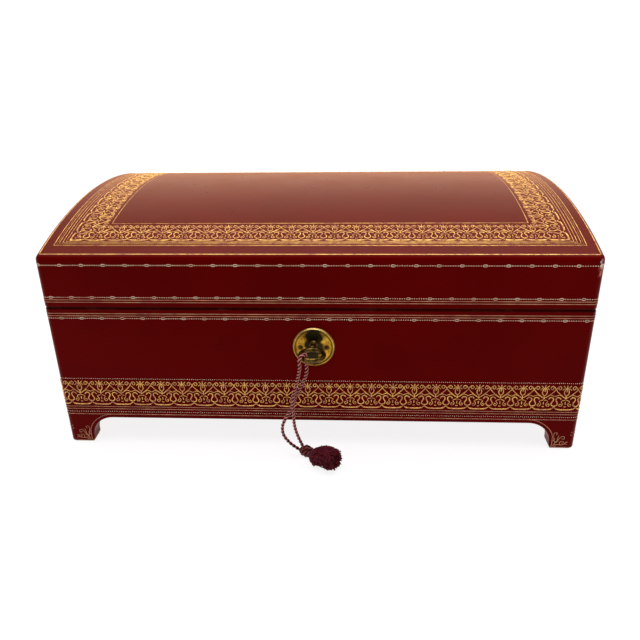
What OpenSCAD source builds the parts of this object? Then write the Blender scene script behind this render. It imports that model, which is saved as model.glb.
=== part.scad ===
// Jewellery case with a domed lid: leather over a wooden carcass, on bracket feet.
// Millimetres. The origin is on the floor under the middle of the case; +X is right, +Y is back, +Z is up.

/* [Case] */
// Outer width of the covered case, left to right
case_w = 305; // [250:1:370]
// Outer depth of the covered case, front to back
case_d = 204; // [168:1:250]
// Height of the joint between case and lid
seam_z = 90; // [80:1:112]
// Thickness of the carcass boards
board_t = 9; // [8:0.5:12]
// Thickness of the leather covering
leather_t = 1; // [0.6:0.1:1.4]
// Thickness of the velvet on its card
lining_t = 1.5; // [1:0.1:2.5]
// Radius of the covered upright corners
corner_r = 3.5; // [2:0.5:5]
// Gap between the closed rims
rim_gap = 0.4; // [0.2:0.1:1]

/* [Feet] */
// Width of each bracket foot at the floor
foot_w = 15; // [12:0.5:20]
// Height of the apron's lower edge
apron_z = 17.5; // [14:0.5:19]
// Radius of the curve from foot to apron
bracket_r = 13.5; // [8:0.5:14]
// Underside of the bottom board
base_z = 20; // [20:0.5:26]
// Thickness of the bottom board
base_t = 4; // [3:0.5:6]
// Thickness of the baize under the bottom board
baize_t = 0.8; // [0.5:0.1:1]
// Thickness of the velvet floor pad
pad_t = 4; // [2:0.5:6]

/* [Lid] */
// Height of the lid's front face above the joint
lid_h = 30; // [24:1:40]
// Rise of the dome above the lid's front and back edges
dome_rise = 16; // [10:1:24]
// Thickness of the domed top board
lid_top_t = 5; // [4:0.5:7]
// Thickness of the padded satin under the dome
lid_pad_t = 2.5; // [1.5:0.5:4]
// Angle to which the lid opens
lid_open = 100; // [0:5:100]

/* [Hinges] */
// Width of each hinge
hinge_w = 32; // [24:1:40]
// Distance from the case's end to the middle of each hinge
hinge_inset = 60; // [40:1:70]
// Thickness of the hinge leaves
leaf_t = 1.2; // [0.8:0.1:1.5]
// How far the leaves reach onto the rims
leaf_reach = 8.5; // [6:0.5:9]
// Radius of the knuckles
knuckle_r = 2.2; // [1.8:0.1:2.6]
// Radius of the hinge pins
pin_r = 1; // [0.8:0.05:1.2]
// Running clearance of the pins in the lid's knuckles
pin_clear = 0.05; // [0.02:0.01:0.1]

/* [Lock and key] */
// Middle of the lock, to the right of the middle of the case
lock_x = -1; // [-4:0.5:4]
// Depth of the key's axis below the joint
key_drop = 20.5; // [19:0.5:26]
// Width of the lock's back plate
lock_w = 36; // [34:1:44]
// Width of the lock box
box_w = 28; // [26:1:30]
// Length of the bolt's throw
bolt_throw = 5; // [4:0.5:5]
// Radius of the round escutcheon
plate_r = 11.9; // [10:0.1:14]
// Thickness of the escutcheon
plate_t = 1.4; // [1:0.1:2]
// Radius of the key's shank
shank_r = 1.7; // [1.4:0.1:2]
// Length of the bit from the key's axis
bit_r = 6; // [5:0.5:6.2]
// Distance from the front face to the middle of the bow
bow_out = 15; // [13:0.5:20]
// Radius of the bow, to the middle of its wire
bow_r = 6.9; // [5.5:0.1:8]
// Radius of the bow's wire
bow_wire_r = 1.4; // [1:0.1:1.8]

/* [Tray] */
// Height of the tray
tray_h = 24; // [18:1:30]
// Depth of the tray's rim below the joint
tray_drop = 4; // [2:1:10]
// Thickness of the tray's walls
tray_wall = 3; // [2:0.5:5]
// Thickness of the tray's floor
tray_base = 2; // [1.5:0.5:3]
// Thickness of the dividers
divider_t = 2; // [1.5:0.5:3]
// Gap between tray and lining at each end
tray_gap_x = 1; // [0.5:0.5:3]
// Gap between tray and lining, front and back
tray_gap_y = 3; // [3:0.5:6]
// Width of the ring roll compartment
ring_bay_w = 92; // [60:1:100]
// Width of the compartment at the right
right_bay_w = 78; // [60:1:90]
// Number of ring rolls
roll_count = 8; // [4:1:9]
// Width of the ledges that carry the tray
rest_w = 3; // [2:0.5:5]

/* [Cord and tassel] */
// Diameter of the twisted cord
cord_d = 2; // [1.5:0.1:2.4]
// Place of the cord round the bow, from the bow's right
hitch_angle = 228; // [200:1:240]
// Radius of the knot
knot_r = 3.7; // [3:0.1:4.5]
// Radius of the tassel
tassel_r = 6.8; // [5:0.1:8]
// Length of the tassel
tassel_l = 19; // [14:0.5:24]
// Direction of the tassel, from the right
tassel_turn = -38; // [-80:1:0]

/* [Hidden] */

eps = 1;                              // how far cutting shapes run past a face
fine = 96;                            // sides of small round shapes as drawn
rim_z = seam_z - rim_gap / 2;
wood_top = rim_z - leather_t;
wood_w = case_w - 2 * leather_t;
wood_d = case_d - 2 * leather_t;
wood_r = corner_r - leather_t;
in_x = wood_w / 2 - board_t;          // inner faces of the boards
in_y = wood_d / 2 - board_t;
front_y = -case_d / 2;
sole_lift = 0.4;                      // the leather stops this far above the floor
floor_z = base_z + base_t + pad_t;
lining_top = rim_z - 0.5;

lid_rim = seam_z + rim_gap / 2;
lid_wood = lid_rim + leather_t;
lid_front_z = seam_z + lid_h;
lid_top_z = lid_front_z + dome_rise;
dome_r = (pow(case_d / 2, 2) + pow(dome_rise, 2)) / (2 * dome_rise);
dome_z = lid_top_z - dome_r;
board_inset = leather_t + lid_top_t;  // from the dome's surface to the underside of the top board

knuckle_gap = 0.4;
axis_y = case_d / 2 + knuckle_r + knuckle_gap;
knuckle_w = hinge_w / 3;
leaf_y = case_d / 2 - leaf_reach;
hinge_xs = [-(case_w / 2 - hinge_inset), case_w / 2 - hinge_inset];
screw_r = 1;
screw_head_r = 1.9;
screw_l = 7;
hinge_screw_dx = hinge_w / 4;

key_z = seam_z - key_drop;
lock_plate_t = 1.2;
lock_screw_gap = 0.5;                 // from the lock box to the shank of each screw beside it
lock_h = rim_z - key_z + 10;          // height of the back plate
box_wall = 0.8;
cavity_y = 4.2;                       // room for the bolt between box and plate
plate_back = -in_y;
plate_face = plate_back - lock_plate_t;
box_face = plate_face - cavity_y - box_wall;
box_bottom = key_z - 8.4;
works_y = plate_face - 1.8;           // middle of bolt, staple and bit
bolt_y = 2.6;
bolt_z = [key_z + 7.2, key_z + 12];
talon_z = key_z + 3.2;
talon_w = 2;
nose_y = 1.6;
nose_z = [key_z + 8.3, key_z + 10.9];
staple_t = 1.6;
nose_x = box_w / 2 - box_wall - 0.6 - bolt_throw;     // tip of the drawn bolt, from the middle of the lock
staple_x = nose_x + 1.4;
bolt_x = [box_wall + 0.8 - box_w / 2, staple_x - staple_t / 2 - 0.4 - bolt_throw];
staple_y = 3;
staple_slot_y = 1.9;
staple_slot_z = [key_z + 7.9, key_z + 11.3];
staple_bottom = key_z + 5.9;
staple_room = 0.5;
keyhole_room = 0.4;
bit_t = 1.8;
bit_y = 3.2;
key_end = plate_face - 0.3;
bow_y = front_y - bow_out;
plate_z = key_z - 2.5;                // the keyhole sits above the middle of the escutcheon
nail_dx = 7.3;
nail_r = 0.5;
nail_head_r = 1.1;
nail_l = box_face - 0.4 - front_y + plate_t;   // ends just in front of the lock box
catch_y = [plate_face - cavity_y - box_wall, plate_back];

tray_x = in_x - lining_t - tray_gap_x;
tray_y = in_y - lining_t - tray_gap_y;
tray_top = seam_z - tray_drop;
tray_z = tray_top - tray_h;
tray_in = tray_z + tray_base;
ring_div_x = -tray_x + tray_wall + ring_bay_w;
right_div_x = tray_x - tray_wall - right_bay_w - divider_t;
divider_top = tray_top - 4;
roll_gap = 1;
roll_pitch = (2 * (tray_y - tray_wall) - roll_gap) / roll_count;
roll_d = roll_pitch - roll_gap;
roll_rise = 0.42;                     // height of a roll's middle, as a share of its width
tab_w = 14;
tab_t = 0.8;
tab_up = 2;

hitch_r = bow_wire_r + cord_d / 2 + 0.3;
hitch_x = lock_x + bow_r * cos(hitch_angle);
hitch_y = bow_y + bow_r * sin(hitch_angle);
strand_top = key_z - 0.3;
knot_at = [-6, -113.6, knot_r];
cord_sides = 8;
cord_steps = 2;                       // rings from one route point to the next
// Routes of the two strands below the bow, as they hang and come to the knot
front_route = [
    [hitch_x + hitch_r * cos(hitch_angle), hitch_y + hitch_r * sin(hitch_angle), strand_top],
    [-7.4, -123.5, 65], [-8.4, -121.5, 59], [-9.8, -120, 53], [-11.4, -119, 47], [-12.2, -118.2, 40],
    [-12.3, -117.2, 32], [-12.2, -116.2, 24], [-10.8, -115.2, 16.5], [-8.4, -114.2, 9], [-7, -113.8, 5.5]
];
back_route = [
    [hitch_x - hitch_r * cos(hitch_angle), hitch_y - hitch_r * sin(hitch_angle), strand_top],
    [-4, -119.4, 65], [-4.1, -118.6, 60], [-5.4, -117.8, 55], [-7.6, -117, 50], [-9.8, -116.2, 45],
    [-11.8, -115.6, 40], [-13.8, -115, 34], [-16.8, -114.8, 28], [-19.2, -114.6, 22], [-18.8, -114.4, 15.5],
    [-15, -114, 9.5], [-9.4, -113.7, 4.6]
];

leather_c = "#5e0d10";
wood_c = "#b48a5a";
velvet_c = "#6e1622";
satin_c = "#8a2030";
brass_c = "#b08d3c";
steel_c = "#8f8f8c";
cord_c = "#6b1a2a";

// Plan of a box with rounded upright corners
module rounded_plan(w, d, r) {
    square([w - 2 * r, d], center = true);
    square([w, d - 2 * r], center = true);
    for (x = [-1, 1], y = [-1, 1])
        translate([x * (w / 2 - r), y * (d / 2 - r)]) circle(r = r, $fn = 48);
}

module upright_block(w, d, r, z0, z1) {
    translate([0, 0, z0]) linear_extrude(z1 - z0) rounded_plan(w, d, r);
}

// Box between two corners
module span(a, b) {
    translate(a) cube(b - a);
}

module outer_block(z0, z1) upright_block(case_w, case_d, corner_r, z0, z1);
module wood_block(z0, z1) upright_block(wood_w, wood_d, wood_r, z0, z1);

// Outline of the opening between two feet, standing on the floor
module arch(half, grow) {
    a = half + grow;
    r = bracket_r + grow;
    top = apron_z + grow;
    translate([-a, -eps]) square([2 * a, top - r + eps]);
    translate([r - a, -eps]) square([2 * (a - r), top + eps]);
    for (x = [-1, 1]) translate([x * (a - r), top - r]) circle(r = r, $fn = fine);
}

module front_arch(y0, y1, grow) {
    translate([0, y1, 0]) rotate([90, 0, 0])
        linear_extrude(y1 - y0) arch(case_w / 2 - foot_w, grow);
}

module side_arch(x0, x1, grow) {
    translate([x0, 0, 0]) rotate([90, 0, 90])
        linear_extrude(x1 - x0) arch(case_d / 2 - foot_w, grow);
}

// Countersunk screw, head up, its top face at z = 0
module screw(l) {
    translate([0, 0, -l]) cylinder(r = screw_r, h = l, $fn = 32);
    translate([0, 0, -leaf_t]) cylinder(r1 = screw_r, r2 = screw_head_r, h = leaf_t, $fn = 48);
}

// ---- carcass ----

module keyway(y0, y1, room) {
    translate([lock_x, y1, key_z]) rotate([90, 0, 0]) linear_extrude(y1 - y0) {
        circle(r = shank_r + room, $fn = fine);
        translate([-bit_t / 2 - room, -bit_r - room]) square([bit_t + 2 * room, bit_r + room]);
    }
}

module nail_shanks(grow) {
    for (s = [-1, 1]) translate([lock_x + s * nail_dx, front_y - plate_t, plate_z])
        rotate([-90, 0, 0]) cylinder(r = nail_r + grow, h = nail_l, $fn = 32);
}

module lock_screw_set() {
    for (s = [-1, 1]) translate([lock_x + s * (box_w / 2 + lock_screw_gap + screw_r), plate_back, key_z - 5])
        rotate([-90, 0, 0]) children();
}

module front_panel() {
    color(wood_c) difference() {
        intersection() {
            wood_block(0, wood_top);
            span([-wood_w / 2, -wood_d / 2, 0], [wood_w / 2, -in_y, wood_top]);
        }
        front_arch(front_y - eps, -in_y + eps, leather_t);
        keyway(front_y - eps, -in_y, keyhole_room);
        nail_shanks(0);
        span([lock_x - lock_w / 2, plate_face, rim_z - lock_h], [lock_x + lock_w / 2, eps - in_y, rim_z]);
        span([lock_x - box_w / 2, box_face, box_bottom], [lock_x + box_w / 2, eps - in_y, rim_z]);
        span([lock_x - lock_w / 2, catch_y[0], rim_z - lock_plate_t], [lock_x + lock_w / 2, eps - in_y, rim_z]);
        lock_screw_set() screw(screw_l);
    }
}

module back_panel() {
    color(wood_c) difference() {
        intersection() {
            wood_block(0, wood_top);
            span([-wood_w / 2, in_y, 0], [wood_w / 2, wood_d / 2, wood_top]);
        }
        front_arch(in_y - eps, case_d / 2 + eps, leather_t);
        leaf_recess(rim_z - leaf_t, rim_z + eps);
        lower_screw_set() screw(screw_l);
    }
}

module end_panel(s) {
    color(wood_c) difference() {
        translate([s * (in_x + board_t / 2), 0, wood_top / 2]) cube([board_t, 2 * in_y, wood_top], center = true);
        side_arch(min(s * in_x, s * wood_w / 2) - eps, max(s * in_x, s * wood_w / 2) + eps, leather_t);
    }
}

module left_panel() end_panel(-1);
module right_panel() end_panel(1);

module bottom_board() {
    color(wood_c) span([-in_x, -in_y, base_z], [in_x, in_y, base_z + base_t]);
}

module base_baize() {
    margin = 3;
    color("#2c3a30") span([margin - in_x, margin - in_y, base_z - baize_t], [in_x - margin, in_y - margin, base_z]);
}

module case_leather() {
    color(leather_c) {
        difference() {
            outer_block(sole_lift, rim_z);
            wood_block(-eps, wood_top);
            span([-in_x, -in_y, -eps], [in_x, in_y, rim_z + eps]);
            front_arch(front_y - eps, case_d / 2 + eps, 0);
            side_arch(-case_w / 2 - eps, case_w / 2 + eps, 0);
            keyway(front_y - eps, -in_y, keyhole_room);
            nail_shanks(0);
            leaf_recess(rim_z - leaf_t, rim_z + eps);
            span([lock_x - lock_w / 2, catch_y[0], wood_top - eps], [lock_x + lock_w / 2, eps - in_y, rim_z + eps]);
        }
        for (s = [-1, 1]) {
            turned_edge() front_arch(min(s * in_y, s * wood_d / 2), max(s * in_y, s * wood_d / 2), $grow);
            turned_edge() side_arch(min(s * in_x, s * wood_w / 2), max(s * in_x, s * wood_w / 2), $grow);
        }
    }
}

// Leather turned in under an arch: the grown opening less the finished one
module turned_edge() {
    intersection() {
        difference() {
            let($grow = leather_t) children();
            let($grow = 0) children();
        }
        wood_block(sole_lift, wood_top);
    }
}

// ---- case lining ----

module lining_front() {
    color(velvet_c) difference() {
        span([-in_x, -in_y, floor_z], [in_x, lining_t - in_y, lining_top]);
        span([lock_x - lock_w / 2, -in_y - eps, rim_z - lock_h], [lock_x + lock_w / 2, in_y, rim_z]);
    }
}

module lining_back() {
    color(velvet_c) span([-in_x, in_y - lining_t, floor_z], [in_x, in_y, lining_top]);
}

module lining_left() {
    color(velvet_c) span([-in_x, lining_t - in_y, floor_z], [lining_t - in_x, in_y - lining_t, lining_top]);
}

module lining_right() {
    color(velvet_c) span([in_x - lining_t, lining_t - in_y, floor_z], [in_x, in_y - lining_t, lining_top]);
}

module floor_pad() {
    color(velvet_c) span([-in_x, -in_y, base_z + base_t], [in_x, in_y, floor_z]);
}

module tray_ledges() {
    x1 = in_x - lining_t;
    color(velvet_c) for (s = [-1, 1])
        translate([s * (x1 - rest_w / 2), 0, (floor_z + tray_z) / 2])
            cube([rest_w, 2 * tray_y, tray_z - floor_z], center = true);
}

// ---- lock ----

module staple_slot(z0, z1) {
    x = lock_x + staple_x;
    half = staple_t / 2 + staple_room;
    span([x - half, plate_face - cavity_y, z0], [x + half, plate_face, z1]);
}

module lock_plate() {
    color(brass_c) difference() {
        union() {
            span([lock_x - lock_w / 2, plate_face, rim_z - lock_h], [lock_x + lock_w / 2, plate_back, rim_z]);
            span([lock_x - lock_w / 2, catch_y[0], rim_z - lock_plate_t], [lock_x + lock_w / 2, plate_back, rim_z]);
        }
        staple_slot(rim_z - lock_plate_t - eps, rim_z + eps);
        lock_screw_set() screw(screw_l);
    }
}

module lock_box() {
    top = rim_z - lock_plate_t;
    half = box_w / 2;
    color(steel_c) difference() {
        span([lock_x - half, box_face, box_bottom], [lock_x + half, plate_face, top]);
        span([lock_x - half + box_wall, box_face + box_wall, box_bottom + box_wall],
             [lock_x + half - box_wall, plate_face + eps, top + eps]);
        keyway(box_face - eps, box_face + box_wall + eps, keyhole_room / 2);
    }
}

module lock_screws() {
    color(brass_c) lock_screw_set() screw(screw_l);
}

module lock_bolt() {
    color(brass_c) translate([lock_x, 0, 0]) {
        span([bolt_x[0], works_y - bolt_y / 2, bolt_z[0]], [bolt_x[1], works_y + bolt_y / 2, bolt_z[1]]);
        for (x = [-10.4, -3.4])
            span([x, works_y - bolt_y / 2, talon_z], [x + talon_w, works_y + bolt_y / 2, bolt_z[0]]);
        span([bolt_x[1], works_y - nose_y / 2, nose_z[0]], [nose_x, works_y + nose_y / 2, nose_z[1]]);
    }
}

module escutcheon() {
    rim = 1.5;
    color(brass_c) difference() {
        translate([lock_x, front_y, plate_z]) rotate([90, 0, 0]) rotate_extrude($fn = fine)
            polygon([[0, 0], [plate_r, 0], [plate_r, plate_t * 0.4], [plate_r - rim * 0.45, plate_t],
                     [plate_r - rim, plate_t], [plate_r - rim * 1.3, plate_t * 0.75], [0, plate_t * 0.75]]);
        keyway(front_y - plate_t - eps, front_y + eps, keyhole_room / 2);
        nail_shanks(0);
    }
}

module escutcheon_pins() {
    face = front_y - plate_t * 0.75;
    color(brass_c) {
        intersection() {
            nail_shanks(0);
            span([-case_w, face, 0], [case_w, 0, seam_z]);
        }
        for (s = [-1, 1]) translate([lock_x + s * nail_dx, face, plate_z]) rotate([90, 0, 0])
            rotate_extrude($fn = 48) polygon([[0, 0], [nail_head_r, 0], [nail_head_r * 0.85, 0.35], [0, 0.6]]);
    }
}

// ---- key, turning about the axis of the keyhole ----

module key() {
    collar_l = 2;
    neck_y = bow_y + bow_r - bow_wire_r / 2;
    color("#6b5a35") {
        translate([lock_x, 0, key_z]) {
            translate([0, key_end, 0]) rotate([90, 0, 0]) cylinder(r = shank_r, h = key_end - neck_y, $fn = fine);
            translate([0, front_y - plate_t - collar_l, 0]) rotate([90, 0, 0]) rotate_extrude($fn = fine)
                polygon([[0, 0], [shank_r + 0.5, 0], [shank_r + 1, 0.6], [shank_r + 1, 1.4], [shank_r + 0.4, 2], [0, 2]]);
            translate([0, bow_y, 0]) rotate_extrude($fn = fine)
                translate([bow_r, 0]) circle(r = bow_wire_r, $fn = 32);
        }
        span([lock_x - bit_r, works_y - bit_y / 2, key_z - bit_t / 2], [lock_x, works_y + bit_y / 2, key_z + bit_t / 2]);
    }
}

module cord_hitch() {
    color(cord_c) translate([hitch_x, hitch_y, key_z]) rotate([0, 0, hitch_angle]) rotate([90, 0, 0])
        rotate_extrude(angle = 180, $fn = fine) translate([hitch_r, 0]) circle(r = cord_d / 2, $fn = 24);
}

// ---- hinges ----

module leaf_recess(z0, z1) {
    for (x = hinge_xs) span([x - hinge_w / 2, leaf_y, z0], [x + hinge_w / 2, case_d / 2 + eps, z1]);
}

module along_axis(x0, x1, r) {
    translate([x0, axis_y, seam_z]) rotate([0, 90, 0]) cylinder(r = r, h = x1 - x0, $fn = fine);
}

// The three knuckle spaces of a hinge whose middle is at x = 0
function knuckle_x(i) = [(i - 1.5) * knuckle_w, (i - 0.5) * knuckle_w];

// One leaf with its knuckles: mine and theirs list the knuckle spaces of this leaf and of the other
module leaf(z0, z1, mine, theirs, bore_r) {
    half_gap = 0.15;
    for (x = hinge_xs) translate([x, 0, 0]) difference() {
        union() {
            difference() {
                span([-hinge_w / 2, leaf_y, z0], [hinge_w / 2, axis_y, z1]);
                for (i = theirs) along_axis(knuckle_x(i)[0] - half_gap, knuckle_x(i)[1] + half_gap,
                                            knuckle_r + knuckle_gap - 0.1);
            }
            for (i = mine) along_axis(knuckle_x(i)[0] + half_gap, knuckle_x(i)[1] - half_gap, knuckle_r);
        }
        along_axis(-hinge_w, hinge_w, bore_r);
    }
}

module lower_screw_set() {
    for (x = hinge_xs, s = [-1, 1])
        translate([x + s * hinge_screw_dx, leaf_y + leaf_reach / 2 - 0.5, rim_z]) children();
}

module upper_screw_set() {
    for (x = hinge_xs, s = [-1, 1])
        translate([x + s * hinge_screw_dx, leaf_y + leaf_reach / 2 - 0.5, lid_rim]) mirror([0, 0, 1]) children();
}

module hinge_lower_leaves() {
    color(brass_c) difference() {
        leaf(rim_z - leaf_t, rim_z, [0, 2], [1], pin_r);
        lower_screw_set() screw(screw_l);
    }
}

module hinge_upper_leaves() {
    color(brass_c) difference() {
        leaf(lid_rim, lid_rim + leaf_t, [1], [0, 2], pin_r + pin_clear);
        upper_screw_set() screw(screw_l);
    }
}

module hinge_pins() {
    color(steel_c) for (x = hinge_xs) along_axis(x - hinge_w / 2 - 0.4, x + hinge_w / 2 + 0.4, pin_r);
}

module hinge_lower_screws() {
    color(brass_c) lower_screw_set() screw(screw_l);
}

module hinge_upper_screws() {
    color(brass_c) upper_screw_set() screw(screw_l);
}

// ---- lid ----

// Everything under the dome's surface, lowered by inset
module under_dome(inset) {
    intersection() {
        children();
        translate([0, 0, dome_z]) rotate([0, 90, 0])
            cylinder(r = dome_r - inset, h = 2 * case_w, center = true, $fn = 360);
    }
}

module catch_recess() {
    span([lock_x - lock_w / 2, catch_y[0], lid_rim - eps], [lock_x + lock_w / 2, catch_y[1], lid_rim + lock_plate_t]);
}

module catch_screw_set() {
    for (s = [-1, 1]) translate([lock_x + s * (lock_w / 2 - 4), (catch_y[0] + catch_y[1]) / 2, lid_rim])
        mirror([0, 0, 1]) children();
}

module lid_front_rail() {
    color(wood_c) difference() {
        under_dome(board_inset) intersection() {
            wood_block(lid_wood, lid_top_z);
            span([-wood_w / 2, -wood_d / 2, lid_wood], [wood_w / 2, -in_y, lid_top_z]);
        }
        catch_recess();
        catch_screw_set() screw(screw_l);
    }
}

module lid_back_rail() {
    color(wood_c) difference() {
        under_dome(board_inset) intersection() {
            wood_block(lid_wood, lid_top_z);
            span([-wood_w / 2, in_y, lid_wood], [wood_w / 2, wood_d / 2, lid_top_z]);
        }
        leaf_recess(lid_rim - eps, lid_rim + leaf_t);
        upper_screw_set() screw(screw_l);
    }
}

module lid_end_rail(s) {
    color(wood_c) under_dome(board_inset)
        span([min(s * in_x, s * wood_w / 2), -in_y, lid_wood], [max(s * in_x, s * wood_w / 2), in_y, lid_top_z]);
}

module lid_left_rail() lid_end_rail(-1);
module lid_right_rail() lid_end_rail(1);

module lid_top_board() {
    color(wood_c) difference() {
        under_dome(leather_t) wood_block(lid_wood, lid_top_z);
        under_dome(board_inset) span([-case_w, -case_d, 0], [case_w, case_d, 2 * lid_top_z]);
    }
}

module lid_leather() {
    color(leather_c) difference() {
        under_dome(0) outer_block(lid_rim, lid_top_z + eps);
        under_dome(leather_t) wood_block(lid_wood, lid_top_z + eps);
        span([-in_x, -in_y, lid_rim - eps], [in_x, in_y, lid_wood + eps]);
        leaf_recess(lid_rim - eps, lid_rim + leaf_t);
        catch_recess();
    }
}

module lid_pad() {
    color(satin_c) difference() {
        under_dome(board_inset) span([-in_x, -in_y, lid_wood], [in_x, in_y, lid_top_z]);
        under_dome(board_inset + lid_pad_t) span([-case_w, -case_d, 0], [case_w, case_d, 2 * lid_top_z]);
    }
}

module lid_lining() {
    color(velvet_c) under_dome(board_inset + lid_pad_t) difference() {
        span([-in_x, -in_y, lid_rim + 0.5], [in_x, in_y, lid_top_z]);
        span([lining_t - in_x, lining_t - in_y, 0], [in_x - lining_t, in_y - lining_t, 2 * lid_top_z]);
    }
}

module lock_catch() {
    x = lock_x + staple_x;
    color(brass_c) difference() {
        union() {
            span([lock_x - lock_w / 2, catch_y[0], lid_rim], [lock_x + lock_w / 2, catch_y[1], lid_rim + lock_plate_t]);
            span([x - staple_t / 2, works_y - staple_y / 2, staple_bottom],
                 [x + staple_t / 2, works_y + staple_y / 2, lid_rim]);
        }
        span([x - staple_t, works_y - staple_slot_y / 2, staple_slot_z[0]],
             [x + staple_t, works_y + staple_slot_y / 2, staple_slot_z[1]]);
        catch_screw_set() screw(screw_l);
    }
}

module catch_screws() {
    color(brass_c) catch_screw_set() screw(screw_l);
}

// ---- tray ----

module tray_front() {
    color(velvet_c) span([-tray_x, -tray_y, tray_z], [tray_x, tray_wall - tray_y, tray_top]);
}

module tray_back() {
    color(velvet_c) span([-tray_x, tray_y - tray_wall, tray_z], [tray_x, tray_y, tray_top]);
}

module tray_end(s) {
    color(velvet_c) translate([s * (tray_x - tray_wall / 2), 0, tray_z + tray_h / 2])
        cube([tray_wall, 2 * (tray_y - tray_wall), tray_h], center = true);
}

module tray_left() tray_end(-1);
module tray_right() tray_end(1);

module tray_floor() {
    x = tray_x - tray_wall;
    y = tray_y - tray_wall;
    color(velvet_c) span([-x, -y, tray_z], [x, y, tray_in]);
}

module long_divider(x) {
    y = tray_y - tray_wall;
    color(velvet_c) span([x, -y, tray_in], [x + divider_t, y, divider_top]);
}

module tray_ring_divider() long_divider(ring_div_x);
module tray_right_divider() long_divider(right_div_x);

module tray_cross_dividers() {
    right_in = tray_x - tray_wall;
    color(velvet_c) {
        for (y = [-tray_y / 3, tray_y / 3])
            span([right_div_x + divider_t, y - divider_t / 2, tray_in], [right_in, y + divider_t / 2, divider_top]);
        span([ring_div_x + divider_t, -divider_t / 2, tray_in], [right_div_x, divider_t / 2, divider_top]);
    }
}

module ring_rolls() {
    x0 = -tray_x + tray_wall + roll_gap;
    roll_l = ring_bay_w - 2 * roll_gap;
    y0 = -(roll_count - 1) / 2 * roll_pitch;
    color(velvet_c) for (i = [0 : roll_count - 1]) intersection() {
        translate([x0, y0 + i * roll_pitch, tray_in + roll_d * roll_rise]) rotate([0, 90, 0])
            cylinder(r = roll_d / 2, h = roll_l, $fn = 48);
        span([-tray_x, -tray_y, tray_in], [tray_x, tray_y, tray_top]);
    }
}

module tray_tabs() {
    color("#4a0a10") for (s = [-1, 1])
        translate([s * (tray_x - tray_wall - tab_t / 2), 0, (tray_top + tray_in + tray_h / 2 + tab_up) / 2])
            cube([tab_t, tab_w, tray_top + tab_up - tray_in - tray_h / 2], center = true);
}

// ---- cord and tassel ----

function unit(v) = v / norm(v);
// Point on the curve through the route's points, t from 0 to 1 between points i and i + 1
function between(p, i, t) =
    let(n = len(p) - 1, a = p[max(i - 1, 0)], b = p[i], c = p[i + 1], d = p[min(i + 2, n)])
    0.5 * (2 * b + (c - a) * t + (2 * a - 5 * b + 4 * c - d) * t * t + (3 * b - 3 * c + d - a) * t * t * t);
function smooth(p, n) = concat([for (i = [0 : len(p) - 2], k = [0 : n - 1]) between(p, i, k / n)], [p[len(p) - 1]]);
function heading(p, i) = unit(p[min(i + 1, len(p) - 1)] - p[max(i - 1, 0)]);
function ring(c, h, r, n) =
    let(u = unit(cross([0, 1, 0], h)), v = cross(h, u))
    [for (k = [0 : n - 1]) c + r * (cos(360 * k / n) * u + sin(360 * k / n) * v)];

module tube(route, d, n) {
    p = smooth(route, cord_steps);
    rings = len(p);
    points = [for (i = [0 : rings - 1]) each ring(p[i], heading(p, i), d / 2, n)];
    sides = [for (i = [0 : rings - 2], k = [0 : n - 1])
        let(a = i * n + k, b = i * n + (k + 1) % n) [a, a + n, b + n, b]];
    ends = [[for (k = [0 : n - 1]) k], [for (k = [0 : n - 1]) rings * n - 1 - k]];
    polyhedron(points, concat(sides, ends));
}

module cord_front_strand() {
    color(cord_c) tube(front_route, cord_d, cord_sides);
}

module cord_back_strand() {
    color(cord_c) tube(back_route, cord_d, cord_sides);
}

module tassel_knot() {
    color(cord_c) translate(knot_at) sphere(r = knot_r, $fn = 48);
}

module tassel() {
    neck_r = 2;
    tip_r = tassel_r * 0.7;
    start = knot_at + (knot_r - 0.6) * [cos(tassel_turn), sin(tassel_turn), 0];
    tilt = asin((tassel_r - knot_r) / (tassel_l * 0.55));
    color(cord_c) translate(start) rotate([0, 0, tassel_turn]) rotate([0, 90 - tilt, 0]) rotate_extrude($fn = 48)
        polygon([[0, 0], [neck_r, 0], [tassel_r * 0.6, tassel_l * 0.15], [tassel_r * 0.82, tassel_l * 0.35],
                 [tassel_r, tassel_l * 0.58], [tassel_r * 0.95, tassel_l * 0.8], [tip_r, tassel_l], [0, tassel_l]]);
}

front_panel();
back_panel();
left_panel();
right_panel();
bottom_board();
base_baize();
case_leather();
lining_front();
lining_back();
lining_left();
lining_right();
floor_pad();
tray_ledges();
lock_plate();
lock_box();
lock_screws();
escutcheon();
escutcheon_pins();
hinge_lower_leaves();
hinge_pins();
hinge_lower_screws();
lid_front_rail();
lid_back_rail();
lid_left_rail();
lid_right_rail();
lid_top_board();
lid_leather();
lid_pad();
lid_lining();
lock_catch();
catch_screws();
hinge_upper_leaves();
hinge_upper_screws();
tray_front();
tray_back();
tray_left();
tray_right();
tray_floor();
tray_ring_divider();
tray_right_divider();
tray_cross_dividers();
ring_rolls();
tray_tabs();
lock_bolt();
key();
cord_hitch();
cord_front_strand();
cord_back_strand();
tassel_knot();
tassel();
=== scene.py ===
"""Looks of a leather jewellery case with a domed lid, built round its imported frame.

The case is wood covered in glazed leather with gold tooling. Sizes are in metres in the frame's own axes:
X to the right, Y to the back and Z up, with the keyhole side at the lowest Y.
"""

import math
import random

import bmesh
import bpy
from bpy.props import FloatProperty, FloatVectorProperty, IntProperty, PointerProperty
from mathutils import Matrix, Vector, kdtree, noise


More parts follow.
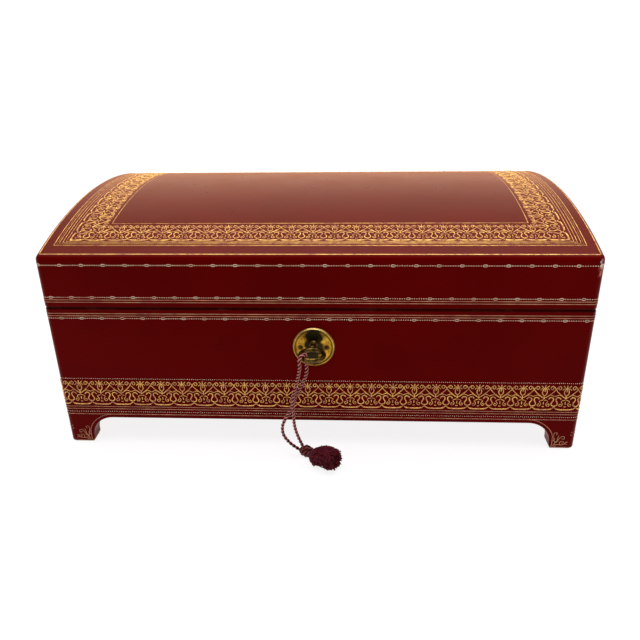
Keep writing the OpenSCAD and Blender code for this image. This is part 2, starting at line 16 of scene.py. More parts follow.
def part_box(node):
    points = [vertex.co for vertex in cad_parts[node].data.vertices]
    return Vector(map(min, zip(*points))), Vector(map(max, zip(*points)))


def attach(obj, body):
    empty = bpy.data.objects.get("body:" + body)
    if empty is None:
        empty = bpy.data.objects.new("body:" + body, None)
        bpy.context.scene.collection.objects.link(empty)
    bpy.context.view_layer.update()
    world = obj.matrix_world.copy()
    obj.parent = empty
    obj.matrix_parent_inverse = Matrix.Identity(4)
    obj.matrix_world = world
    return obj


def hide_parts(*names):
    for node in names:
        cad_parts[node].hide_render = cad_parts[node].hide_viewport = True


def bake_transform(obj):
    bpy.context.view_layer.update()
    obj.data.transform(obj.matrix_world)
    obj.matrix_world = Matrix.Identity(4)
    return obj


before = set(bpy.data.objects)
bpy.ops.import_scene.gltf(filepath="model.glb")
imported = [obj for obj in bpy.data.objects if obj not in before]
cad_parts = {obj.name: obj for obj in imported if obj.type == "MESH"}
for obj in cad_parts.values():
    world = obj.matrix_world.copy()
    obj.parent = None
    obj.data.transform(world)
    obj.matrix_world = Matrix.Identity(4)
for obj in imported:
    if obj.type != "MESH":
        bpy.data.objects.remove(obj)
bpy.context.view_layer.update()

bl_info = {
    "name": "Tooled leather jewellery case",
    "version": (1, 0, 0),
    "blender": (4, 5, 0),
    "location": "View3D > Sidebar > Jewellery case",
    "description": "Leather covers, gold tooling, brass, velvet, cord and stage of a domed jewellery case",
    "category": "Object",
}

MM = 0.001
TINY = 0.02 * MM
WELD = 0.001 * MM
SHARP_ANGLE = 0.6                                   # in radians

# Places that come from the frame
CASE_LO, CASE_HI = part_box("case_leather")
LID_LO, LID_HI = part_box("lid_leather")
HALF_W, HALF_D = CASE_HI.x, CASE_HI.y
INNER_X = -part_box("lining_left")[0].x               # inner faces of the boards
INNER_Y = -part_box("lining_front")[0].y
RIM_Z, LID_RIM_Z, LID_TOP_Z = CASE_HI.z, LID_LO.z, LID_HI.z
LOCK_X = sum(c.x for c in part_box("escutcheon")) / 2
KEY_Z = sum(c.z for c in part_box("key")) / 2
LEAF_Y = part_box("hinge_lower_leaves")[0].y          # front edge of the hinge leaves

# Sizes that part.scad also holds
CORNER_R = 3.5 * MM
APRON_Z = 17.5 * MM
BRACKET_R = 13.5 * MM
FOOT_W = 15 * MM
LEAF_T = 1.2 * MM
LID_EDGE_Z = 120 * MM                               # where the dome meets the lid's front

RISE = LID_TOP_Z - LID_EDGE_Z
DOME_R = (HALF_D ** 2 + RISE ** 2) / (2 * RISE)
DOME_Z = LID_TOP_Z - DOME_R
DOME_ARC = 2 * DOME_R * math.asin(HALF_D / DOME_R)  # along the dome from the front edge to the back edge

STRAIGHT_X, STRAIGHT_Y = 2 * (HALF_W - CORNER_R), 2 * (HALF_D - CORNER_R)
QUARTER = CORNER_R * math.pi / 2
OUTLINE = 2 * (STRAIGHT_X + STRAIGHT_Y) + 4 * QUARTER
SIDE_T = STRAIGHT_X / 2 + QUARTER + STRAIGHT_Y / 2  # along the outline from the middle of the front to that of a side


def linear(code):
    """The linear colour of an sRGB hex code."""
    values = [int(code[i:i + 2], 16) / 255 for i in (0, 2, 4)]
    return tuple(v / 12.92 if v <= 0.04045 else ((v + 0.055) / 1.055) ** 2.4 for v in values)


def scaled(colour, share):
    """A linear colour made lighter or darker."""
    return tuple(share * c for c in colour)


# ---------------------------------------------------------------- settings

class CoverSettings(bpy.types.PropertyGroup):
    arris: FloatProperty(name="Lid arris", description="Rounding where the dome meets the lid's walls",
                         default=3 * MM, min=1 * MM, max=3.2 * MM, subtype="DISTANCE")
    turned: FloatProperty(name="Turned edge", description="Rounding of the leather at rims and brackets",
                          default=0.9 * MM, min=0.3 * MM, max=1.2 * MM, subtype="DISTANCE")
    dye: FloatVectorProperty(name="Oxblood", description="Colour of the glazed leather", size=3,
                             subtype="COLOR", default=linear("500001"))
    rubbed: FloatVectorProperty(name="Rubbed edge", description="Colour where the leather is rubbed", size=3,
                                subtype="COLOR", default=linear("A0503F"))


class ToolingSettings(bpy.types.PropertyGroup):
    repeats: IntProperty(name="Repeats", description="Number of fleurons round the case", default=82, min=40)
    eyes: IntProperty(name="Eyes", description="Number of eyes in a beaded line round the case", default=87, min=40)
    lid_pitch: FloatProperty(name="Lid pitch", description="From one fleuron of the lid's border to the next",
                             default=12.15 * MM, subtype="DISTANCE")
    sunk: FloatProperty(name="Sunk", description="How far the middle of a stroke lies under the leather",
                        default=0.06 * MM, subtype="DISTANCE")
    fillet: FloatProperty(name="Fillet", description="Half width of the plain gold lines", default=0.27 * MM,
                          subtype="DISTANCE")
    gold: FloatVectorProperty(name="Gold leaf", description="Colour of the gold tooling", size=3,
                              subtype="COLOR", default=linear("E2AE58"))


class CordSettings(bpy.types.PropertyGroup):
    diameter: FloatProperty(name="Cord diameter", description="Across the two twisted plies",
                            default=2 * MM, subtype="DISTANCE")
    lay: FloatProperty(name="Lay", description="Length of one full turn of the plies", default=5 * MM,
                       subtype="DISTANCE")
    yarns: IntProperty(name="Yarns", description="Number of yarns in the tassel", default=420, min=50, max=1500)
    rayon: FloatVectorProperty(name="Rayon", description="Colour of cord and tassel", size=3,
                               subtype="COLOR", default=linear("560D16"))


class LiningSettings(bpy.types.PropertyGroup):
    quilt: FloatProperty(name="Quilting", description="From one line of the lid's quilting to the next",
                         default=31 * MM, subtype="DISTANCE")
    fold: FloatProperty(name="Fold", description="Rounding of velvet folded over an edge", default=0.5 * MM,
                        subtype="DISTANCE")
    velvet: FloatVectorProperty(name="Velvet", description="Colour of the velvet", size=3, subtype="COLOR",
                                default=linear("6B0F1C"))
    satin: FloatVectorProperty(name="Satin", description="Colour of the satin", size=3, subtype="COLOR",
                               default=linear("861628"))


class StageSettings(bpy.types.PropertyGroup):
    flat: FloatProperty(name="Floor", description="Flat part of the floor from the middle to the back",
                        default=2, subtype="DISTANCE")
    sweep: FloatProperty(name="Sweep", description="Radius of the floor's curve up behind", default=6,
                         subtype="DISTANCE")
    lens: FloatProperty(name="Lens", description="Focal length of the camera", default=36.5, unit="CAMERA")
    room: FloatProperty(name="Room light", description="Brightness of the pale room", default=0.45, min=0)
    above: FloatProperty(name="Overhead", description="Strength of the wide soft light overhead", default=4.1, min=0)
    glow: FloatProperty(name="Glow", description="Brightness of the lit white floor itself", default=0.86, min=0)
    tint: FloatVectorProperty(name="Tint", description="Colour of the floor in the light that falls on it",
                              size=3, subtype="COLOR", default=linear("6E6D6D"))


# ---------------------------------------------------------------- materials

def join(tree, node, inputs):
    """Links or sets a node's inputs: a dict by name, or a list from the first input in use on."""
    used = [s for s in node.inputs if s.enabled]
    for key, value in inputs.items() if isinstance(inputs, dict) else enumerate(inputs):
        socket = used[key] if isinstance(key, int) else next(s for s in used if s.name == key)
        if isinstance(value, bpy.types.Node):
            value = next(s for s in value.outputs if s.enabled)
        if isinstance(value, bpy.types.NodeSocket):
            tree.links.new(value, socket)
        elif value is not None:
            wide = socket.type == "RGBA" and len(value) == 3
            socket.default_value = (*value, 1) if wide else value


def add(tree, kind, inputs=(), stops=(), **settings):
    """Adds a shader node with its settings, inputs and, for a ramp, its stops of place and colour or grey."""
    node = tree.nodes.new("ShaderNode" + kind)
    for key, value in settings.items():
        setattr(node, key, value)
    join(tree, node, inputs)
    if stops:
        points = node.color_ramp.elements
        points[0].position, points[1].position = stops[0][0], stops[-1][0]
        for position, _ in stops[1:-1]:
            points.new(position)
        for point, (_, colour) in zip(points, stops):
            point.color = (*colour, 1) if isinstance(colour, tuple) else (colour, colour, colour, 1)
    return node


def finish(maker, *values):
    """The material that a maker gives, made once and named for it."""
    material = bpy.data.materials.get(maker.__name__)
    if material is None:
        material = bpy.data.materials.new(maker.__name__)
        material.use_nodes = True
        tree = material.node_tree
        where = add(tree, "TexCoord").outputs["Object"]
        maker(tree, tree.nodes["Principled BSDF"], where, *values)
    return material


def maths(tree, operation, *values):
    return add(tree, "Math", values, operation=operation)


def vector(tree, operation, *values):
    return add(tree, "VectorMath", values, operation=operation)


def mixed(tree, share, first, second):
    return add(tree, "Mix", [share, first, second], data_type="RGBA")


def bumped(tree, height, strength, distance, normal=None):
    return add(tree, "Bump", {"Height": height, "Strength": strength, "Distance": distance, "Normal": normal})


def clouds(tree, where, size, detail=2.0, rough=0.5):
    """Noise with features about size across."""
    return add(tree, "TexNoise", {"Vector": where, "Scale": 1 / size, "Detail": detail, "Roughness": rough})


def tones(tree, where, size, stops, detail=3.0, rough=0.5):
    """Clouds run through a ramp's stops."""
    return add(tree, "ValToRGB", [clouds(tree, where, size, detail, rough)], stops)


def glazed_goatskin(tree, shader, where):
    """Goatskin dyed oxblood and polished under glass: it shines softly over a faint grain. The dye is cloudy,
    rims and corners are rubbed pale, and one front corner of the lid is scuffed down to the bare hide."""
    covers = bpy.context.scene.case_covers
    dye = tuple(covers.dye)
    cloud = tones(tree, where, 45 * MM, [(0.3, scaled(dye, 0.9)), (0.7, scaled(dye, 1.1))], 2)
    split = add(tree, "SeparateXYZ", [where])
    across, back, up = split.outputs
    # 1 at the upright corners, 0 on the flats
    near = [add(tree, "MapRange", [maths(tree, "ABSOLUTE", place), half - 2.4 * MM, half - 0.4 * MM])
            for place, half in ((across, HALF_W), (back, HALF_D))]
    corner = maths(tree, "MULTIPLY", *near)
    # 1 at the rims on both sides of the joint, and at the soles
    gap = maths(tree, "SUBTRACT", up, (RIM_Z + LID_RIM_Z) / 2)
    rims = add(tree, "MapRange", [maths(tree, "ABSOLUTE", gap), 1.4 * MM, 0.4 * MM])
    soles = add(tree, "MapRange", [up, 3 * MM, 0.5 * MM])
    low = maths(tree, "MAXIMUM", rims, soles)
    edges = maths(tree, "MAXIMUM", corner, maths(tree, "MULTIPLY", low, 0.5))
    patches = tones(tree, where, 8 * MM, [(0.52, 0.0), (0.66, 1.0)], 5, 0.7)
    rub = maths(tree, "MULTIPLY", edges, patches)
    rub = maths(tree, "MULTIPLY", rub, 0.55)
    # the scuffed corner, a streak down from the arris, bare and pale at its top
    offset = vector(tree, "SUBTRACT", where, (HALF_W - 2.4 * MM, -HALF_D + 0.4 * MM, 113.5 * MM))
    streak = vector(tree, "MULTIPLY", offset, (1 / (1.9 * MM), 1 / (2.5 * MM), 1 / (6 * MM)))
    far = vector(tree, "LENGTH", streak).outputs["Value"]
    ragged = maths(tree, "ADD", far, tones(tree, where, 2.5 * MM, [(0.35, -0.5), (0.65, 0.5)], 4))
    scuff = add(tree, "MapRange", [ragged, 1.0, 0.5])
    hide = tones(tree, where, 1.6 * MM, [(0.4, linear("6A2A28")), (0.62, linear("C88A78"))], 4)
    hide = mixed(tree, add(tree, "MapRange", [up, 114.6 * MM, 115.8 * MM]), hide, linear("F4F0EE"))
    base = mixed(tree, rub, cloud, tuple(covers.rubbed))
    base = mixed(tree, scuff, base, hide)
    # painted shade in the joint between case and lid, with grime, on the outside only: nearly black on the upright
    # faces close to the gap
    facing = add(tree, "SeparateXYZ", [add(tree, "TexCoord").outputs["Normal"]]).outputs["Z"]
    upright = add(tree, "MapRange", [maths(tree, "ABSOLUTE", facing), 0.95, 0.7])
    seam_shade_and_grime = add(tree, "MapRange", [maths(tree, "ABSOLUTE", gap), 1.3 * MM, 0.6 * MM, 0, 0.93])
    seam_shade_and_grime = maths(tree, "MULTIPLY", seam_shade_and_grime, upright)
    base = mixed(tree, seam_shade_and_grime, base, linear("0D0303"))
    shine = tones(tree, where, 16 * MM, [(0.3, 0.27), (0.75, 0.33)], 4)
    dull = maths(tree, "MULTIPLY", maths(tree, "MAXIMUM", rub, scuff), 0.35)
    # pores 1.1 mm apart on fine creases, over the slight swell of the boards
    pores = add(tree, "TexVoronoi", {"Vector": where, "Scale": 1 / (1.1 * MM)}, feature="SMOOTH_F1")
    crease = clouds(tree, where, 0.5 * MM, 2.0)
    grain = maths(tree, "ADD", pores, crease)
    swell = clouds(tree, where, 34 * MM, 2.0)
    slow = bumped(tree, swell, 0.09, 1.5 * MM)
    join(tree, shader, {"Base Color": base, "Normal": bumped(tree, grain, 0.12, 0.05 * MM, slow),
                        "Roughness": maths(tree, "ADD", shine, dull), "IOR": 1.16, "Specular Tint": linear("FF6C50"),
                        "Sheen Weight": 0.3, "Sheen Roughness": 0.3, "Sheen Tint": linear("FF7040")})


def polished_goatskin(tree, shader, where):
    """The same goatskin on the crown of the lid, rubbed for years to a soft brownish bloom at a slant."""
    glazed_goatskin(tree, shader, where)
    join(tree, shader, {"Sheen Weight": 1.0, "Sheen Roughness": 0.34, "Sheen Tint": linear("FF9530")})


def gold_leaf(tree, shader, where):
    """Gold leaf struck into leather with hot brass tools: bright metal broken by the grain and rubbed thin in
    patches, where the red shows through."""
    gold = tuple(bpy.context.scene.case_tooling.gold)
    red = scaled(bpy.context.scene.case_covers.dye, 3)
    thin = tones(tree, where, 4 * MM, [(0.52, 0.0), (0.74, 0.55)], 5, 0.7)
    pale = tuple(c ** 0.7 for c in gold)
    leaf = tones(tree, where, 2.6 * MM,
                 [(0.3, linear("A8704E")), (0.44, linear("CC9660")), (0.56, gold), (0.72, pale)])
    colour = mixed(tree, thin, leaf, red)
    bump = bumped(tree, clouds(tree, where, 0.6 * MM), 0.35, 0.05 * MM)
    join(tree, shader, {"Base Color": colour, "Normal": bump,
                        "Metallic": maths(tree, "SUBTRACT", 0.6, thin),
                        "Roughness": tones(tree, where, 1.5 * MM, [(0.3, 0.34), (0.8, 0.55)])})


def pale_leaf(tree, shader, where):
    """The same leaf where the beads stand on the walls, in a pale pinkish cream that is a painted highlight for the
    glint of the raised beads, and rubbed thin in patches to the red.
    """
    thin = tones(tree, where, 3 * MM, [(0.5, 0.0), (0.75, 0.7)], 5, 0.7)
    # painted highlight: the leaf's colour made pale pinkish cream
    leaf = tones(tree, where, 9 * MM, [(0.3, linear("E8BC9C")), (0.7, linear("FFECD0"))])
    colour = mixed(tree, thin, leaf, linear("7A2A24"))
    join(tree, shader, {"Base Color": colour, "Metallic": 0.3,
                        "Roughness": tones(tree, where, 1.5 * MM, [(0.3, 0.36), (0.8, 0.6)])})


def rubbed_leaf(tree, shader, where):
    """Gold leaf in fillets rubbed thin, so that the red leather warms and darkens it."""
    thin = tones(tree, where, 5 * MM, [(0.45, 0.1), (0.7, 0.7)], 5, 0.7)
    leaf = tones(tree, where, 9 * MM, [(0.3, linear("9A6450")), (0.7, linear("CC966E"))])
    colour = mixed(tree, thin, leaf, linear("6E2420"))
    join(tree, shader, {"Base Color": colour, "Metallic": 0.4,
                        "Roughness": tones(tree, where, 1.5 * MM, [(0.3, 0.36), (0.8, 0.6)])})


def lacquered_brass(tree, shader, where):
    """Turned yellow brass under old lacquer, which has gone brown and black in the groove and in spots. Above and
    below the keyhole is a painted shadow and reflection of the key, and the rim has a painted highlight all round."""
    lo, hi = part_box("escutcheon")
    # painted shadow and reflection of the key: brown and black above and below the keyhole, ragged at its edge
    cloud = clouds(tree, where, 4 * MM, 5.0)
    ragged = maths(tree, "MULTIPLY", cloud, 7.4 * MM)
    away = vector(tree, "SUBTRACT", where, (LOCK_X, 0, KEY_Z - 1 * MM))
    away = vector(tree, "LENGTH", vector(tree, "MULTIPLY", away, (1, 0, 0.42)))
    edge = maths(tree, "SUBTRACT", away.outputs["Value"], ragged)
    key_shadow_and_reflection = add(tree, "MapRange", [edge, 2.2 * MM, 0.9 * MM])
    middle = vector(tree, "SUBTRACT", where, (LOCK_X, 0, (lo.z + hi.z) / 2))
    middle = vector(tree, "MULTIPLY", middle, (1, 0, 1))
    reach = vector(tree, "LENGTH", middle).outputs["Value"]
    groove = maths(tree, "ABSOLUTE", maths(tree, "SUBTRACT", reach, 10.4 * MM))
    groove = add(tree, "MapRange", [groove, 0.7 * MM, 0.3 * MM, 0, 0.8])
    # painted highlight: the rim is lightened all round
    rim_highlight = add(tree, "MapRange", [reach, 11.1 * MM, 11.5 * MM, 0, 0.6])
    mirrored = vector(tree, "ABSOLUTE", middle)
    pin = vector(tree, "LENGTH", vector(tree, "SUBTRACT", mirrored, (7.3 * MM, 0, 0)))
    pins = add(tree, "MapRange", [pin.outputs["Value"], 1.9 * MM, 1.1 * MM, 0, 0.95])
    spots = tones(tree, where, 1.8 * MM, [(0.57, 0.0), (0.68, 0.85)], 5, 0.7)
    spots = maths(tree, "MAXIMUM", spots, pins)
    brass = tones(tree, where, 3.5 * MM,
                  [(0.3, linear("6E4C14")), (0.5, linear("AE8026")), (0.75, linear("D2A83E"))], 4)
    dark = maths(tree, "MAXIMUM", maths(tree, "MAXIMUM", key_shadow_and_reflection, spots), groove)
    colour = mixed(tree, dark, brass, linear("2A2412"))
    # the painted highlight's pale brass colour on the rim
    colour = mixed(tree, rim_highlight, colour, linear("D8BC74"))
    pits = clouds(tree, where, 1.1 * MM, 4.0)
    bump = bumped(tree, pits, 0.4, 0.15 * MM)
    join(tree, shader, {"Base Color": colour, "Metallic": 1.0, "Normal": bump,
                        "Roughness": tones(tree, where, 2 * MM, [(0.3, 0.25), (0.8, 0.48)], 4)})


def worked_metal(tree, shader, where, low, high, rough):
    """Two tones of a plain metal in broken patches, with the small unevenness of handwork."""
    pits = clouds(tree, where, 0.9 * MM, 3.0)
    colour = tones(tree, where, 2.5 * MM, [(0.35, linear(low)), (0.7, linear(high))], 5, 0.6)
    join(tree, shader, {"Base Color": colour, "Metallic": 1.0, "Normal": bumped(tree, pits, 0.3, 0.1 * MM),
                        "Roughness": tones(tree, where, 1.7 * MM, [(0.3, rough), (0.8, rough + 0.22)])})


def handled_brass(tree, shader, where):
    """Cast brass kept bright on its high spots and nearly black elsewhere, as an old key is."""
    worked_metal(tree, shader, where, "1C160B", "75592A", 0.24)


def rolled_brass(tree, shader, where):
    """Rolled sheet brass of the hinges, lock plate and screws, dulled evenly."""
    worked_metal(tree, shader, where, "8A6A30", "C7A24E", 0.3)


def rolled_steel(tree, shader, where):
    """Rolled mild steel of the lock box and hinge pins, grey and oily."""
    worked_metal(tree, shader, where, "55534E", "8C8A84", 0.35)


def cotton_velvet(tree, shader, where):
    """Short cotton velvet: the pile is dark face on and pale at a slant, and lies in brushed patches."""
    velvet = tuple(bpy.context.scene.case_linings.velvet)
    brushed = tones(tree, where, 17 * MM, [(0.35, scaled(velvet, 0.5)), (0.65, scaled(velvet, 1.2))], 4)
    pile = clouds(tree, where, 0.6 * MM, 3.0)
    colour = mixed(tree, maths(tree, "MULTIPLY", pile, 0.5), brushed, scaled(velvet, 0.3))
    bump = bumped(tree, pile, 0.6, 0.3 * MM)
    join(tree, shader, {"Base Color": colour, "Roughness": 0.95, "Normal": bump, "Sheen Weight": 0.6,
                        "Sheen Roughness": 0.4, "Sheen Tint": linear("D07078")})


def rayon_satin(tree, shader, where):
    """Rayon satin: long floats of shiny thread, smooth, streaked and finely ribbed."""
    satin = tuple(bpy.context.scene.case_linings.satin)
    drawn = add(tree, "Mapping", {"Vector": where, "Scale": (0.15, 1, 1)})
    streaks = tones(tree, drawn, 8 * MM, [(0.3, scaled(satin, 0.7)), (0.7, scaled(satin, 1.3))])
    # ribs are 2.4 mm apart, far coarser than the thread, so that they show
    ribs = add(tree, "TexWave", {"Vector": where, "Scale": 0.31 / (2.4 * MM), "Distortion": 0.5})
    bump = bumped(tree, ribs, 0.15, 0.08 * MM)
    join(tree, shader, {"Base Color": streaks, "Roughness": 0.36, "Normal": bump, "Sheen Weight": 0.3})


def twisted_rayon(tree, shader, where):
    """Viscose rayon thread: shiny filaments, with a painted pinkish highlight where the plies stand out and painted
    shade, nearly black, between the plies.
    """
    rayon = tuple(bpy.context.scene.case_cord.rayon)
    depth = add(tree, "Attribute", attribute_name="depth").outputs["Fac"]
    # painted light from the "depth" attribute: painted shade, nearly black, between the plies, the plain colour on
    # their sides and a painted pinkish highlight (B4716A) on their crests
    shade = add(tree, "ValToRGB", [depth], [(0.5, scaled(rayon, 0.05)), (0.78, rayon),
                                            (0.95, linear("B4716A"))])
    threads = clouds(tree, where, 0.4 * MM, 3.0)
    colour = mixed(tree, maths(tree, "MULTIPLY", threads, 0.4), shade, scaled(rayon, 0.5))
    bump = bumped(tree, threads, 0.5, 0.15 * MM)
    join(tree, shader, {"Base Color": colour, "Roughness": 0.42, "Normal": bump, "IOR": 1.35,
                        "Specular Tint": linear("FFBCB3")})


def chenille_yarn(tree, shader, where):
    """Rayon chenille: soft tufted yarn, wine coloured, with painted purple highlights in patches and painted shade,
    deep towards the heart of the tassel.
    """
    rayon = tuple(bpy.context.scene.case_cord.rayon)
    depth = add(tree, "Attribute", attribute_name="depth").outputs["Fac"]
    # painted shade: dark where the "depth" attribute is low, in the tassel's heart
    shade = add(tree, "ValToRGB", [depth], [(0.35, scaled(rayon, 0.12)), (1.0, scaled(rayon, 0.8))])
    fluff = clouds(tree, where, 0.8 * MM, 4.0)
    # painted purple highlights in patches
    patches = tones(tree, where, 3 * MM, [(0.5, 0.0), (0.68, 0.7)], 4)
    colour = mixed(tree, patches, shade, linear("68203A"))
    bump = bumped(tree, fluff, 0.8, 0.4 * MM)
    join(tree, shader, {"Base Color": colour, "Roughness": 0.8, "Normal": bump, "IOR": 1.22, "Sheen Weight": 0.08,
                        "Sheen Tint": linear("C87890")})


def planed_poplar(tree, shader, where):
    """Planed poplar, which the leather covers: pale, straight grained and dry."""
    along = add(tree, "Mapping", {"Vector": where, "Scale": (0.08, 1, 1)})
    grain = clouds(tree, along, 3.5 * MM, 5.0)
    colour = add(tree, "ValToRGB", [grain], [(0.3, linear("8F6A40")), (0.7, linear("C6A06C"))])
    join(tree, shader, {"Base Color": colour, "Roughness": 0.75, "Normal": bumped(tree, grain, 0.3, 0.2 * MM)})


def wool_baize(tree, shader, where):
    """Felted green wool baize under the base, dull and fuzzy."""
    fuzz = clouds(tree, where, 1.2 * MM, 4.0, 0.7)
    colour = add(tree, "ValToRGB", [fuzz], [(0.3, linear("16241B")), (0.7, linear("31463A"))])
    join(tree, shader, {"Base Color": colour, "Roughness": 1.0, "Normal": bumped(tree, fuzz, 0.7, 0.4 * MM),
                        "Sheen Weight": 0.3})


def opal_acrylic(tree, shader, where):
    """A sweep of opal acrylic lit from below, as on a light table: plain white, with hardly a shadow on it."""
    stage = bpy.context.scene.case_stage
    tint = tuple(stage.tint)
    join(tree, shader, {"Base Color": tones(tree, where, 0.5, [(0.3, scaled(tint, 0.985)), (0.7, tint)]),
                        "Roughness": 0.9, "Specular IOR Level": 0.1, "Emission Color": linear("FFFEFE"),
                        "Emission Strength": stage.glow})


# ---------------------------------------------------------------- shaping

def make_piece(source, name, body, material, sharp=35):
    """Makes an object at the origin of a bmesh or mesh, riding on a body. Without a body it is left free."""
    mesh = as_mesh(source, name) if isinstance(source, bmesh.types.BMesh) else source
    piece = bpy.data.objects.new(name, mesh)
    bpy.context.scene.collection.objects.link(piece)
    mesh.materials.clear()
    mesh.materials.append(material)
    mesh.polygons.foreach_set("use_smooth", [True] * len(mesh.polygons))
    mesh.set_sharp_from_angle(angle=math.radians(sharp))
    if body:
        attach(piece, body)
    return piece


def add_box(bm, lo, hi):
    """Adds a box between two corners."""
    lo, hi = Vector(lo), Vector(hi)
    made = bmesh.ops.create_cube(bm, size=1)["verts"]
    bmesh.ops.scale(bm, vec=hi - lo, verts=made)
    bmesh.ops.translate(bm, vec=(lo + hi) / 2, verts=made)
    return made


def as_mesh(bm, name):
    """Turns a bmesh into a mesh, and frees it."""
    mesh = bpy.data.meshes.new(name)
    bm.to_mesh(mesh)
    bm.free()
    return mesh


def weld(bm):
    bmesh.ops.remove_doubles(bm, verts=bm.verts, dist=WELD)


def verts_of(geom):
    return [g for g in geom if isinstance(g, bmesh.types.BMVert)]


def sharp_edges(bm):
    """The edges between two faces that meet at a clear angle."""
    return [e for e in bm.edges if len(e.link_faces) == 2 and e.calc_face_angle() > SHARP_ANGLE]


def round_edges(bm, edges, offset, segments):
    bmesh.ops.bevel(bm, geom=edges, offset=offset, offset_type="OFFSET", affect="EDGES", segments=segments,
                    profile=0.5, material=-1)


def long_edges(bm, axis):
    """The edges that run along an axis, 0 to 2."""
    others = [i for i in range(3) if i != axis]
    return [e for e in bm.edges if all(abs(e.verts[0].co[i] - e.verts[1].co[i]) < TINY for i in others)]


def combined(bm, tool, operation):
    """The solid bm cut by, or kept only within, the solid tool."""
    scene = bpy.context.scene
    pair = []
    for name, part in (("work", bm), ("tool", tool)):
        pair.append(bpy.data.objects.new(name, as_mesh(part, name)))
        scene.collection.objects.link(pair[-1])
    change = pair[0].modifiers.new("change", "BOOLEAN")
    change.object, change.operation, change.solver = pair[1], operation, "EXACT"
    done = bmesh.new()
    done.from_mesh(pair[0].evaluated_get(bpy.context.evaluated_depsgraph_get()).to_mesh())
    for o in pair:
        bpy.data.objects.remove(o)
    weld(done)
    return done


def cut(bm, *tools):
    """The solid bm less each tool in turn."""
    for tool in tools:
        bm = combined(bm, tool, "DIFFERENCE")
    return bm


def block(z0, z1):
    """A solid with the case's plan and rounded upright corners."""
    bm = bmesh.new()
    add_box(bm, (-HALF_W, -HALF_D, z0), (HALF_W, HALF_D, z1))
    round_edges(bm, long_edges(bm, 2), CORNER_R, 8)
    return bm


def box(lo, hi):
    bm = bmesh.new()
    add_box(bm, lo, hi)
    return bm


def opening(half_x, half_y):
    """The solid of the opening between two feet, rounded into the apron."""
    bm = box((-half_x, -half_y, -MM), (half_x, half_y, APRON_Z))
    tops = [e for e in long_edges(bm, int(half_y > HALF_D)) if min(v.co.z for v in e.verts) > 0]
    round_edges(bm, tops, BRACKET_R, 12)
    return bm


def keyhole(y, radius, depth, segments):
    """A round bar along Y through the place of the key, with its middle at y."""
    bm = bmesh.new()
    bmesh.ops.create_cone(bm, cap_ends=True, segments=segments, radius1=radius, radius2=radius, depth=depth,
                          matrix=Matrix.Translation((LOCK_X, y, KEY_Z)) @ Matrix.Rotation(math.pi / 2, 4, "X"))
    return bm


def vault(depth, half_x, half_y, floor_z):
    """The solid under the dome's surface lowered by depth, down to floor_z."""
    radius = DOME_R - depth
    reach = math.asin(half_y / radius)
    bm = bmesh.new()
    first = bm.verts.new((-half_x, -half_y, DOME_Z + radius * math.cos(reach)))
    bmesh.ops.spin(bm, geom=[first], cent=(0, 0, DOME_Z), axis=(-1, 0, 0), angle=2 * reach, steps=48,
                   use_duplicate=False)
    bm.verts.ensure_lookup_table()
    arc = sorted(bm.verts, key=lambda v: v.co.y)
    low = [bm.verts.new((-half_x, s * half_y, floor_z)) for s in (1, -1)]
    bm.faces.new(arc + low)
    grown = bmesh.ops.extrude_face_region(bm, geom=bm.faces[:])["geom"]
    bmesh.ops.translate(bm, vec=(2 * half_x, 0, 0), verts=verts_of(grown))
    bmesh.ops.recalc_face_normals(bm, faces=bm.faces)
    return bm


def on_wall(co):
    """True where a point lies on the upright outer walls, rounded corners included."""
    return abs(math.hypot(max(abs(co.x) - HALF_W + CORNER_R, 0), max(abs(co.y) - HALF_D + CORNER_R, 0))
               - CORNER_R) < TINY


def wall_edges(bm, low, high):
    """The sharp edges of the outer walls between two heights."""
    return [e for e in sharp_edges(bm) if all(on_wall(v.co) and low <= v.co.z <= high for v in e.verts)]


def weigh_normals(piece):
    """Keeps flat faces flat beside their rounded edges."""
    shade = piece.modifiers.new("weighted normals", "WEIGHTED_NORMAL")
    shade.keep_sharp = True


def round_wall(t, z, out=0.0):
    """The point at height z, and out from the leather, at a distance t along the outline of the walls from the
    middle of the front to the right."""
    t = (t + STRAIGHT_X / 2) % OUTLINE
    centres = [(-1, -1), (1, -1), (1, 1), (-1, 1)]
    for side, length in enumerate((STRAIGHT_X, STRAIGHT_Y, STRAIGHT_X, STRAIGHT_Y)):
        if t <= length + QUARTER or side == 3:
            break
        t -= length + QUARTER
    along = Vector(((1, 0), (0, 1), (-1, 0), (0, -1))[side])
    normal = Vector((along.y, -along.x))
    start = Vector((centres[side][0] * STRAIGHT_X / 2, centres[side][1] * STRAIGHT_Y / 2))
    bend = max(t - length, 0) / CORNER_R
    p = start + along * min(t, length) + (normal * math.cos(bend) + along * math.sin(bend)) * (CORNER_R + out)
    return Vector((p.x, p.y, z))


def arch_wall(t, below, out=0.0):
    """The point of the walls at t that is some way below the dome's surface."""
    p = round_wall(t, 0, out)
    p.z = DOME_Z + math.sqrt((DOME_R - below) ** 2 - p.y ** 2)
    return p


def on_dome(x, s, out=0.0):
    """The point of the lid's top at x, a distance s along the dome from its crown to the back."""
    angle = s / DOME_R
    return Vector((x, (DOME_R + out) * math.sin(angle), DOME_Z + (DOME_R + out) * math.cos(angle)))


